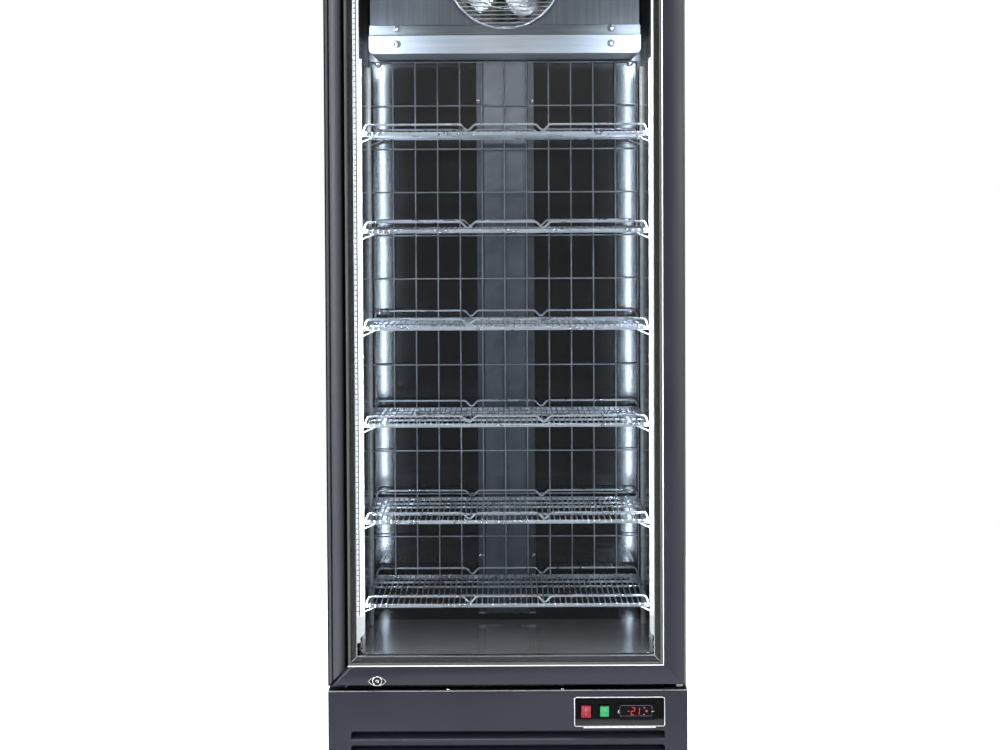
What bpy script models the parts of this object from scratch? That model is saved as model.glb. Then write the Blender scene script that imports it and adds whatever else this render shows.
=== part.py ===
"""Single-door upright display freezer, built as separate pieces.

A black cabinet stands on levelling feet. Its full-height glass door hangs on the right and carries a grip
along its left edge and a lock in its bottom rail. Inside are six wire shelves on pilasters, a wire grid and
an air duct on the back wall, and a fan evaporator with a drip tray under the ceiling. The refrigeration
unit, the louvred front and the switches are in the base, and a light box stands on top.

Units are metres. X is right, -Y is the front and +Z is up. The origin is on the floor, at the middle of the
footprint.
"""

import math

import bmesh
import bpy
from mathutils import Matrix, Vector

# Overall size
WIDTH = 0.688
DEPTH = 0.720
HEIGHT = 2.030
HALF_WIDTH = WIDTH / 2
FRONT = -DEPTH / 2
BACK = DEPTH / 2
GAP = 0.0003  # between touching pieces

# Cabinet
SKIN = 0.002
BODY_FRONT = -0.300
BODY_BACK = 0.355
BODY_TOP = 1.8685
BASE_TOP = 0.300
BASE_BOTTOM = 0.062
FOOT_HEIGHT = 0.060
BASE_PAN_THICKNESS = 0.004
INNER_HALF_WIDTH = 0.283
INNER_FLOOR = 0.356
INNER_CEILING = 1.815
INNER_BACK = 0.300
LINER_FRONT = -0.250
MOUTH_HALF_WIDTH = 0.2935
MOUTH_BOTTOM = 0.350

# Door
DOOR_FRONT = -0.357
DOOR_BACK = -0.311
DOOR_BOTTOM = 0.309
DOOR_TOP = 1.860
DOOR_LEFT = -HALF_WIDTH
DOOR_RIGHT = 0.340
FRAME_WIDTH = 0.043
GRIP_WIDTH = 0.0327
GRIP_BACK = -0.333
GRIP_START = math.radians(14)  # how far the grip's face is turned to the right, at its left edge
GRIP_END = math.radians(58)  # and at its right edge
BEAD_WIDTH = 0.004
BEAD_FRONT = -0.351
HINGE_X = 0.3296
HINGE_Y = -0.334
PIN_RADIUS = 0.004
PIN_CLEARANCE = 0.0003

# Lock, in the bottom rail
LOCK_X = -0.2498
LOCK_Z = 0.319
LOCK_RADIUS = 0.0075
CAM_LENGTH = 0.026
CAM_HALF_WIDTH = 0.006
CAM_FRONT = -0.3375
CAM_THICKNESS = 0.002

# Shelves, bottom to top
SHELF_HEIGHTS = (0.457, 0.6195, 0.807, 0.9945, 1.182, 1.3695)
SHELF_HALF_WIDTH = 0.275
SHELF_FRONT = -0.2645
SHELF_BACK = 0.2545
SHELF_WIRE = 0.005
SHELF_GUARD = 0.015
CLIP_HEIGHT = 0.006

# Evaporator, under the ceiling
TRAY_BOTTOM = 1.527
TRAY_TOP = 1.563
TRAY_FRONT = -0.062
TRAY_BACK = 0.262
TRAY_CORNER = 0.010
TRAY_HALF_WIDTH = 0.2695
COVER_FRONT = -0.058
FAN_HEIGHT = 1.691
GUARD_RADIUS = 0.115
FAN_HOLE_RADIUS = 0.105
EVAPORATOR_FAN_RADIUS = 0.098
EVAPORATOR_FAN_Y = -0.030

# Condenser fan, in the base
CONDENSER_FAN_X = -0.050
CONDENSER_FAN_Y = -0.210
CONDENSER_FAN_Z = 0.180
CONDENSER_FAN_RADIUS = 0.085

# Control panel, in the base front
PANEL_FRONT = -0.355
BEZEL_LEFT = 0.1267
BEZEL_RIGHT = 0.3013
BEZEL_BOTTOM = 0.229
BEZEL_TOP = 0.287
BEZEL_BACK = -0.3465
BEZEL_FLOOR = -0.350
BEZEL_RIM = 0.003
BEZEL_CORNER = 0.005
ROCKER_Z = 0.258
ROCKER_PIVOT_Y = -0.3495
ROCKER_TILT = math.radians(8)
POWER_ROCKER_X = 0.150
LIGHT_ROCKER_X = 0.1853
POWER_ROCKER_SIZE = (0.021, 0.025)
LIGHT_ROCKER_SIZE = (0.019, 0.022)
ROCKER_THICKNESS = 0.008
ROCKER_CLEARANCE = 0.001
CONTROLLER_X = 0.2454
CONTROLLER_Z = 0.2585
CONTROLLER_SIZE = (0.0744, 0.0296)
LOUVRE_TOP = 0.222
LOUVRE_PITCH = 0.0267
LOUVRE_HEIGHT = 0.0188
LOUVRE_HALF_LENGTH = 0.301
LOUVRE_CORNER = 0.006
LOUVRE_COUNT = 5
PANEL_ROUNDING = 0.0035

# Light box on top
CANOPY_BOTTOM = 1.871
CANOPY_FRONT = -0.352
CANOPY_BACK = -0.232

MATERIALS = {
    "black_steel": ((0.045, 0.047, 0.058), 0.42, 0.0),
    "charcoal_aluminium": ((0.05, 0.052, 0.062), 0.38, 0.0),
    "dark_plastic": ((0.03, 0.03, 0.034), 0.45, 0.0),
    "black_liner": ((0.02, 0.021, 0.025), 0.30, 0.0),
    "stainless_steel": ((0.62, 0.63, 0.64), 0.28, 1.0),
    "galvanised_steel": ((0.42, 0.43, 0.44), 0.45, 1.0),
    "zinc_wire": ((0.70, 0.71, 0.73), 0.25, 1.0),
    "chrome": ((0.80, 0.80, 0.82), 0.10, 1.0),
    "aluminium": ((0.70, 0.70, 0.72), 0.40, 1.0),
    "copper_fins": ((0.62, 0.60, 0.58), 0.45, 1.0),
    "compressor_paint": ((0.03, 0.03, 0.03), 0.35, 0.0),
    "foam": ((0.75, 0.66, 0.42), 0.90, 0.0),
    "rubber": ((0.03, 0.03, 0.03), 0.70, 0.0),
    "glass": ((0.85, 0.92, 0.90), 0.02, 0.0),
    "light_diffuser": ((0.92, 0.94, 0.96), 0.35, 0.0),
    "red_rocker": ((0.60, 0.05, 0.05), 0.30, 0.0),
    "green_rocker": ((0.05, 0.55, 0.18), 0.30, 0.0),
    "fan_plastic": ((0.75, 0.76, 0.78), 0.40, 0.0),
}


def clear_scene():
    """Removes every object, so that the script can be run again."""
    for old in list(bpy.data.objects):
        bpy.data.objects.remove(old, do_unlink=True)


def new_collection(name):
    collection = bpy.data.collections.new(name)
    bpy.context.scene.collection.children.link(collection)
    return collection


def make_material(name):
    """A Principled BSDF material with this entry's colour, roughness and metallic value."""
    colour, roughness, metallic = MATERIALS[name]
    material = bpy.data.materials.get(name) or bpy.data.materials.new(name)
    material.use_nodes = True
    shader = material.node_tree.nodes["Principled BSDF"]
    shader.inputs["Base Color"].default_value = (*colour, 1.0)
    shader.inputs["Roughness"].default_value = roughness
    shader.inputs["Metallic"].default_value = metallic
    return material


def finish_piece(piece, material_name):
    """Gives a piece its own copy of a material and puts it in the freezer's collection."""
    material = make_material(material_name).copy()
    material.name = piece.name + "_" + material_name
    piece.data.materials.clear()
    piece.data.materials.append(material)
    PIECES.objects.link(piece)
    return piece


def keep_as_cutter(tool):
    """Hides a helper from the render, and so from the model."""
    tool.hide_render = True
    tool.display_type = "WIRE"
    CUTTERS.objects.link(tool)
    return tool


def box_mesh(name, low, high, rounding=0.0, rounded_axis=None, segments=2):
    """A box between two corners. Rounding bevels all edges, or only those along rounded_axis."""
    size = [high[axis] - low[axis] for axis in range(3)]
    centre = [(high[axis] + low[axis]) / 2 for axis in range(3)]
    shape = bmesh.new()
    bmesh.ops.create_cube(shape, size=1.0)
    bmesh.ops.transform(shape, matrix=Matrix.Diagonal((*size, 1.0)), verts=shape.verts)
    if rounding:
        edges = list(shape.edges)
        if rounded_axis is not None:
            along = Vector([float(axis == rounded_axis) for axis in range(3)])
            directions = {edge: (edge.verts[0].co - edge.verts[1].co).normalized() for edge in edges}
            edges = [edge for edge in edges if abs(directions[edge].dot(along)) > 0.9]
        bmesh.ops.bevel(shape, geom=edges, offset=rounding, segments=segments, profile=0.5, affect="EDGES")
    bmesh.ops.translate(shape, verts=shape.verts, vec=centre)
    mesh = bpy.data.meshes.new(name)
    shape.to_mesh(mesh)
    shape.free()
    return mesh


def box(name, low, high, material, **rounding):
    piece = bpy.data.objects.new(name, box_mesh(name, low, high, **rounding))
    return finish_piece(piece, material)


def box_tool(name, low, high, **rounding):
    return keep_as_cutter(bpy.data.objects.new(name, box_mesh(name, low, high, **rounding)))


def cylinder_mesh(name, radius, start, end, segments=32):
    """A cylinder from the point start to the point end."""
    start = Vector(start)
    end = Vector(end)
    shape = bmesh.new()
    length = (end - start).length
    bmesh.ops.create_cone(
        shape, cap_ends=True, segments=segments, radius1=radius, radius2=radius, depth=length
    )
    turn = Vector((0, 0, 1)).rotation_difference(end - start).to_matrix().to_4x4()
    bmesh.ops.transform(shape, matrix=Matrix.Translation((start + end) / 2) @ turn, verts=shape.verts)
    mesh = bpy.data.meshes.new(name)
    shape.to_mesh(mesh)
    shape.free()
    mesh.shade_smooth()
    mesh.set_sharp_from_angle(angle=math.radians(40))
    return mesh


def cylinder(name, radius, start, end, material, segments=32):
    piece = bpy.data.objects.new(name, cylinder_mesh(name, radius, start, end, segments))
    return finish_piece(piece, material)


def cylinder_tool(name, radius, start, end, segments=32):
    return keep_as_cutter(
        bpy.data.objects.new(name, cylinder_mesh(name, radius, start, end, segments))
    )


def cut(piece, *tools):
    for tool in tools:
        modifier = piece.modifiers.new("Cut " + tool.name, "BOOLEAN")
        modifier.operation = "DIFFERENCE"
        modifier.solver = "EXACT"
        modifier.object = tool


def join(piece, *tools):
    for tool in tools:
        modifier = piece.modifiers.new("Join " + tool.name, "BOOLEAN")
        modifier.operation = "UNION"
        modifier.solver = "EXACT"
        modifier.object = tool


# The outline's plane, and the axis that it is extruded along.
PLANES = {
    "XY": Matrix.Identity(4),
    "XZ": Matrix.Rotation(math.radians(90), 4, "X"),
}


def extruded_curve(name, outline, plane, start, end):
    """A flat outline in the XY or XZ plane, extruded from start to end along the third axis."""
    curve = bpy.data.curves.new(name, "CURVE")
    curve.dimensions = "2D"
    curve.fill_mode = "BOTH"
    curve.extrude = (end - start) / 2
    spline = curve.splines.new("POLY")
    spline.points.add(len(outline) - 1)
    for point, (across, along) in zip(spline.points, outline):
        point.co = (across, along, 0, 1)
    spline.use_cyclic_u = True
    piece = bpy.data.objects.new(name, curve)
    middle = (start + end) / 2
    offset = (0, 0, middle) if plane == "XY" else (0, middle, 0)
    piece.matrix_world = Matrix.Translation(offset) @ PLANES[plane]
    return piece


def extrusion(name, outline, plane, start, end, material):
    """An extruded outline, made a mesh so that it can be cut."""
    source = extruded_curve(name + "_outline", outline, plane, start, end)
    bpy.context.scene.collection.objects.link(source)
    bpy.context.view_layer.update()
    graph = bpy.context.evaluated_depsgraph_get()
    mesh = bpy.data.meshes.new_from_object(source.evaluated_get(graph))
    mesh.transform(source.matrix_world)
    shape = bmesh.new()
    shape.from_mesh(mesh)
    bmesh.ops.remove_doubles(shape, verts=shape.verts, dist=0.00001)
    shape.to_mesh(mesh)
    shape.free()
    mesh.name = name
    bpy.data.objects.remove(source, do_unlink=True)
    return finish_piece(bpy.data.objects.new(name, mesh), material)


def turned(name, profile, centre, material, steps=24):
    """A profile of (radius, height) points, from top to bottom, turned around +Z at centre."""
    mesh = bpy.data.meshes.new(name)
    mesh.from_pydata([(radius, 0, height) for radius, height in profile],
                     [(index, index + 1) for index in range(len(profile) - 1)], [])
    piece = bpy.data.objects.new(name, mesh)
    piece.location = centre
    screw = piece.modifiers.new("Turn", "SCREW")
    screw.steps = steps
    screw.render_steps = steps
    screw.use_merge_vertices = True
    screw.merge_threshold = 0.00005
    screw.use_smooth_shade = True
    return finish_piece(piece, material)


def ring(name, low, high, inner_low, inner_high, material):
    """A frame in the XZ plane: a box with a box opening right through it along Y."""
    piece = box(name, low, high, material)
    opening = box_tool(
        name + "_opening",
        (inner_low[0], low[1] - 0.01, inner_low[1]),
        (inner_high[0], high[1] + 0.01, inner_high[1]),
    )
    cut(piece, opening)
    return piece


def wire_lattice(name, columns, rows, cell, centre, thickness, material, plane, guards=0.0):
    """A flat grid of square wires. Guards raises a second row of wires at both ends of its rows."""
    shape = bmesh.new()
    bmesh.ops.create_grid(shape, x_segments=columns, y_segments=rows, size=0.5)
    if guards:
        limit = 0.5 - 0.01
        ends = [edge for edge in shape.edges if all(abs(vert.co.y) > limit for vert in edge.verts)]
        raised = bmesh.ops.extrude_edge_only(shape, edges=ends)["geom"]
        tops = [item for item in raised if isinstance(item, bmesh.types.BMVert)]
        bmesh.ops.translate(shape, verts=tops, vec=(0, 0, guards))
    size = (columns * cell[0], rows * cell[1], 1.0)
    turn = Matrix.Identity(4) if plane == "XY" else Matrix.Rotation(math.radians(90), 4, "X")
    bmesh.ops.transform(shape, matrix=turn @ Matrix.Diagonal((*size, 1.0)), verts=shape.verts)
    mesh = bpy.data.meshes.new(name)
    shape.to_mesh(mesh)
    shape.free()
    piece = bpy.data.objects.new(name, mesh)
    piece.location = centre
    wires = piece.modifiers.new("Wires", "WIREFRAME")
    wires.thickness = thickness
    wires.use_even_offset = True
    wires.use_boundary = True
    wires.use_replace = True
    return finish_piece(piece, material)


def axis_empty(name, location, parent=None):
    """An empty on a joint's axis. The pieces that turn or slide together are its children."""
    empty = bpy.data.objects.new(name, None)
    empty.empty_display_size = 0.05
    PIECES.objects.link(empty)
    empty.location = location
    if parent:
        empty.parent = parent
        empty.location = Vector(location) - Vector(parent.location)
    return empty


def ride_on(empty, *pieces):
    """Parents pieces to an empty and moves their origins onto it, with their shapes left in place."""
    bpy.context.view_layer.update()
    place = empty.matrix_world.translation
    for piece in pieces:
        piece.data.transform(Matrix.Translation(Vector(piece.location) - place))
        piece.parent = empty
        piece.location = (0, 0, 0)


# Cabinet shell


def make_cabinet_shell():
    side_bottom = FOOT_HEIGHT + BASE_PAN_THICKNESS + 2 * GAP
    for side, name in ((-1, "side_panel_left"), (1, "side_panel_right")):
        outer = side * HALF_WIDTH
        inner = side * (HALF_WIDTH - SKIN)
        box(
            name,
            (min(outer, inner), BODY_FRONT, side_bottom),
            (max(outer, inner), BODY_BACK, BODY_TOP),
            "black_steel",
        )
    core = HALF_WIDTH - SKIN - GAP
    box(
        "back_panel",
        (-core, BODY_BACK - SKIN, BASE_TOP + GAP),
        (core, BODY_BACK, BODY_TOP),
        "galvanised_steel",
    )
    box(
        "top_panel",
        (-HALF_WIDTH, BODY_FRONT, BODY_TOP + GAP),
        (HALF_WIDTH, BODY_BACK, BODY_TOP + GAP + SKIN),
        "black_steel",
    )
    box(
        "base_pan",
        (-HALF_WIDTH, BODY_FRONT, FOOT_HEIGHT + GAP),
        (HALF_WIDTH, BODY_BACK, FOOT_HEIGHT + GAP + BASE_PAN_THICKNESS),
        "galvanised_steel",
    )


def make_insulation_and_liner():
    core = HALF_WIDTH - SKIN - GAP
    liner_half_width = INNER_HALF_WIDTH + SKIN
    liner_floor = INNER_FLOOR - SKIN
    liner_ceiling = INNER_CEILING + SKIN
    liner_back = INNER_BACK + SKIN
    foam = box(
        "foam_insulation",
        (-core, LINER_FRONT, BASE_TOP + SKIN),
        (core, BODY_BACK - SKIN - GAP, BODY_TOP),
        "foam",
    )
    cut(foam, box_tool(
        "foam_cavity",
        (-liner_half_width - GAP, LINER_FRONT - 0.01, liner_floor - GAP),
        (liner_half_width + GAP, liner_back + GAP, liner_ceiling + GAP),
    ))
    liner = box(
        "inner_liner",
        (-liner_half_width, LINER_FRONT, liner_floor),
        (liner_half_width, liner_back, liner_ceiling),
        "black_liner",
    )
    cut(liner, box_tool(
        "liner_cavity",
        (-INNER_HALF_WIDTH, LINER_FRONT - 0.01, INNER_FLOOR),
        (INNER_HALF_WIDTH, INNER_BACK, INNER_CEILING),
    ))
    ring(
        "front_frame",
        (-core, BODY_FRONT, BASE_TOP + SKIN),
        (core, LINER_FRONT - GAP, BODY_TOP),
        (-MOUTH_HALF_WIDTH, MOUTH_BOTTOM),
        (MOUTH_HALF_WIDTH, INNER_CEILING),
        "dark_plastic",
    )


def make_feet():
    foot_profile = (
        (0.0, FOOT_HEIGHT),
        (0.010, FOOT_HEIGHT),
        (0.010, 0.016),
        (0.020, 0.012),
        (0.022, 0.010),
        (0.022, 0.0),
        (0.0, 0.0),
    )
    for depth, row in ((-0.270, "front"), (0.300, "rear")):
        for across, side in ((-0.300, "left"), (0.300, "right")):
            turned(f"foot_{row}_{side}", foot_profile, (across, depth, 0), "rubber", steps=20)


# Base


def make_front_grille():
    grille = box(
        "front_grille",
        (-HALF_WIDTH, PANEL_FRONT, BASE_BOTTOM),
        (HALF_WIDTH, BODY_FRONT - GAP, BASE_TOP),
        "black_steel",
        rounding=PANEL_ROUNDING,
        rounded_axis=0,
        segments=3,
    )
    cut(grille, box_tool(
        "grille_hollow",
        (-HALF_WIDTH + SKIN, PANEL_FRONT + SKIN, BASE_BOTTOM + SKIN),
        (HALF_WIDTH - SKIN, BODY_FRONT + 0.01, BASE_TOP - SKIN),
    ))
    for index in range(LOUVRE_COUNT):
        top = LOUVRE_TOP - index * LOUVRE_PITCH
        cut(grille, box_tool(
            f"louvre_slot_{index + 1}",
            (-LOUVRE_HALF_LENGTH, PANEL_FRONT - 0.01, top - LOUVRE_HEIGHT),
            (LOUVRE_HALF_LENGTH, PANEL_FRONT + 0.01, top),
            rounding=LOUVRE_CORNER,
            rounded_axis=1,
        ))
    cut(grille, box_tool(
        "bezel_hole",
        (BEZEL_LEFT - GAP, PANEL_FRONT - 0.01, BEZEL_BOTTOM - GAP),
        (BEZEL_RIGHT + GAP, PANEL_FRONT + 0.01, BEZEL_TOP + GAP),
        rounding=BEZEL_CORNER,
        rounded_axis=1,
    ))
    cut(grille, box_tool(
        "cam_slot",
        (LOCK_X - 0.009, CAM_FRONT - 0.003, BASE_TOP - 0.01),
        (LOCK_X + 0.020, CAM_FRONT + 0.005, BASE_TOP + 0.01),
    ))


def make_rear_grille():
    core = HALF_WIDTH - SKIN - GAP
    bottom = FOOT_HEIGHT + BASE_PAN_THICKNESS + 2 * GAP
    grille = box(
        "rear_grille", (-core, BODY_BACK - SKIN, bottom), (core, BODY_BACK, BASE_TOP), "galvanised_steel"
    )
    slot_count = 6
    slot_pitch = 0.024
    for index in range(slot_count):
        low = 0.115 + index * slot_pitch
        cut(grille, box_tool(
            f"rear_slot_{index + 1}",
            (-0.200, BODY_BACK - 0.01, low),
            (0.300, BODY_BACK + 0.01, low + slot_pitch / 2),
        ))


def make_power_inlet():
    inlet = box(
        "power_inlet", (-0.300, BODY_BACK + GAP, 0.120), (-0.252, BACK, 0.148), "dark_plastic"
    )
    cut(inlet, box_tool("inlet_socket", (-0.2885, BODY_BACK + 0.0015, 0.126), (-0.2635, BACK + 0.01, 0.142)))


def comb_outline(left, right, front, back, fins, fin_share):
    """A finned block seen from above: fins stand out of a thin core at the front and at the back."""
    pitch = (right - left) / fins
    middle = (front + back) / 2
    core = 0.004
    near = []
    far = []
    for index in range(fins):
        start = left + index * pitch
        end = start + pitch * fin_share
        stop = left + (index + 1) * pitch if index < fins - 1 else end
        near += [(start, front), (end, front), (end, middle - core), (stop, middle - core)]
        far += [(start, back), (end, back), (end, middle + core), (stop, middle + core)]
    return near[:-1] + far[-2::-1]


def make_refrigeration_unit():
    floor = FOOT_HEIGHT + BASE_PAN_THICKNESS + 2 * GAP
    coil_half_width = 0.14
    coil_front, coil_back, coil_top = -0.285, -0.240, 0.285
    left, right = CONDENSER_FAN_X - coil_half_width, CONDENSER_FAN_X + coil_half_width
    fins = comb_outline(left, right, coil_front, coil_back, 14, 0.45)
    extrusion(
        "condenser_coil",
        fins,
        "XY",
        floor,
        coil_top,
        "copper_fins",
    )
    motor_radius = 0.034
    motor_front, motor_back = CONDENSER_FAN_Y + 0.018, CONDENSER_FAN_Y + 0.075
    motor = cylinder(
        "condenser_fan_motor",
        motor_radius,
        (CONDENSER_FAN_X, motor_front, CONDENSER_FAN_Z),
        (CONDENSER_FAN_X, motor_back, CONDENSER_FAN_Z),
        "dark_plastic",
        segments=24,
    )
    join(motor, box_tool(
        "condenser_motor_bracket",
        (CONDENSER_FAN_X - 0.020, motor_back - 0.030, floor),
        (CONDENSER_FAN_X + 0.020, motor_back - 0.026, CONDENSER_FAN_Z),
    ))
    # The compressor's shell, from the top of its dome down past the welded rim to the bottom.
    dome_radius, dome_base, dome_height = 0.075, 0.150, 0.040
    rim_radius = 0.086
    dome_steps = 6
    shell = [(0.0, dome_base + dome_height)]
    for step in range(1, dome_steps + 1):
        angle = math.radians(90) * step / dome_steps
        shell.append((dome_radius * math.sin(angle), dome_base + dome_height * math.cos(angle)))
    shell += [(dome_radius, 0.070), (rim_radius, 0.066), (rim_radius, 0.060), (dome_radius, 0.056)]
    shell += [(0.060, 0.020), (0.0, 0.012)]
    across, depth = 0.180, 0.190
    compressor = turned("compressor", shell, (across, depth, floor), "compressor_paint")
    join(compressor, box_tool(
        "compressor_base",
        (across - 0.090, depth - 0.080, floor),
        (across + 0.090, depth + 0.080, floor + 0.024),
        rounding=0.01,
        rounded_axis=2,
    ))
    pan_left, pan_right, pan_front, pan_back, pan_top = -0.300, -0.040, 0.040, 0.300, 0.105
    pan = box("condensate_pan", (pan_left, pan_front, floor), (pan_right, pan_back, pan_top), "aluminium")
    cut(pan, box_tool(
        "pan_hollow",
        (pan_left + SKIN, pan_front + SKIN, floor + SKIN),
        (pan_right - SKIN, pan_back - SKIN, pan_top + 0.01),
    ))


def make_fan(name, centre, radius, half_depth, blades):
    """A hub with tilted blades, turning around Y. Its origin is on its axis."""
    hub = cylinder(
        name,
        0.030,
        (centre[0], centre[1] - half_depth, centre[2]),
        (centre[0], centre[1] + half_depth, centre[2]),
        "fan_plastic",
        segments=20,
    )
    pitch = math.radians(28)
    root = 0.024
    for index in range(blades):
        blade = box_tool(f"{name}_blade_{index + 1}", (root, -0.001, -0.021), (radius, 0.001, 0.021))
        turn = Matrix.Rotation(2 * math.pi * index / blades, 4, "Y")
        blade.data.transform(turn @ Matrix.Rotation(pitch, 4, "X"))
        blade.data.transform(Matrix.Translation(centre))
        join(hub, blade)
    empty = axis_empty(name + "_axis", centre)
    bake(hub)
    ride_on(empty, hub)


def bake(piece):
    """Applies a piece's modifiers, so that its origin can move without its cutters."""
    bpy.context.view_layer.update()
    graph = bpy.context.evaluated_depsgraph_get()
    mesh = bpy.data.meshes.new_from_object(piece.evaluated_get(graph))
    mesh.name = piece.name
    piece.modifiers.clear()
    piece.data = mesh


# Control panel


def make_control_panel():
    bezel = box(
        "control_bezel",
        (BEZEL_LEFT, FRONT, BEZEL_BOTTOM),
        (BEZEL_RIGHT, BEZEL_BACK, BEZEL_TOP),
        "chrome",
        rounding=BEZEL_CORNER,
        rounded_axis=1,
    )
    cut(bezel, box_tool(
        "bezel_recess",
        (BEZEL_LEFT + BEZEL_RIM, FRONT - 0.01, BEZEL_BOTTOM + BEZEL_RIM),
        (BEZEL_RIGHT - BEZEL_RIM, BEZEL_FLOOR, BEZEL_TOP - BEZEL_RIM),
        rounding=BEZEL_CORNER - BEZEL_RIM,
        rounded_axis=1,
    ))
    rockers = (
        ("power_rocker", POWER_ROCKER_X, POWER_ROCKER_SIZE, "red_rocker"),
        ("light_rocker", LIGHT_ROCKER_X, LIGHT_ROCKER_SIZE, "green_rocker"),
    )
    for name, across, (width, height), colour in rockers:
        half_hole = width / 2 + ROCKER_CLEARANCE
        cut(bezel, box_tool(
            name + "_hole",
            (across - half_hole, FRONT - 0.01, ROCKER_Z - height / 2 - ROCKER_CLEARANCE),
            (across + half_hole, BEZEL_BACK + 0.01, ROCKER_Z + height / 2 + ROCKER_CLEARANCE),
        ))
        front = ROCKER_PIVOT_Y - ROCKER_THICKNESS / 2
        back = ROCKER_PIVOT_Y + ROCKER_THICKNESS / 2
        rocker = box(
            name,
            (across - width / 2, front, ROCKER_Z - height / 2),
            (across + width / 2, back, ROCKER_Z + height / 2),
            colour,
            rounding=0.0008,
        )
        empty = axis_empty(name + "_axis", (across, ROCKER_PIVOT_Y, ROCKER_Z))
        ride_on(empty, rocker)
        rocker.rotation_euler = (ROCKER_TILT, 0, 0)
    body_half_width = CONTROLLER_SIZE[0] / 2 - 0.0025
    body_half_height = CONTROLLER_SIZE[1] / 2 - 0.0015
    face_front, body_front, body_back = -0.3530, -0.3515, -0.3045
    cut(bezel, box_tool(
        "controller_hole",
        (CONTROLLER_X - body_half_width - GAP, FRONT - 0.01, CONTROLLER_Z - body_half_height - GAP),
        (CONTROLLER_X + body_half_width + GAP, BEZEL_BACK + 0.01, CONTROLLER_Z + body_half_height + GAP),
    ))
    face = box(
        "controller",
        (CONTROLLER_X - CONTROLLER_SIZE[0] / 2, face_front, CONTROLLER_Z - CONTROLLER_SIZE[1] / 2),
        (CONTROLLER_X + CONTROLLER_SIZE[0] / 2, BEZEL_FLOOR - GAP, CONTROLLER_Z + CONTROLLER_SIZE[1] / 2),
        "dark_plastic",
        rounding=0.003,
        rounded_axis=1,
    )
    join(face, box_tool(
        "controller_body",
        (CONTROLLER_X - body_half_width, body_front, CONTROLLER_Z - body_half_height),
        (CONTROLLER_X + body_half_width, body_back, CONTROLLER_Z + body_half_height),
    ))


# Door


def grip_face(left, right, front, steps):
    """Points of the arc that falls back from the grip's front left edge to its right edge."""
    radius = (right - left) / (math.sin(GRIP_END) - math.sin(GRIP_START))
    points = []
    for step in range(steps + 1):
        angle = GRIP_START + (GRIP_END - GRIP_START) * step / steps
        across = left + radius * (math.sin(angle) - math.sin(GRIP_START))
        points.append((across, front + radius * (math.cos(GRIP_START) - math.cos(angle))))
    return points


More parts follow.
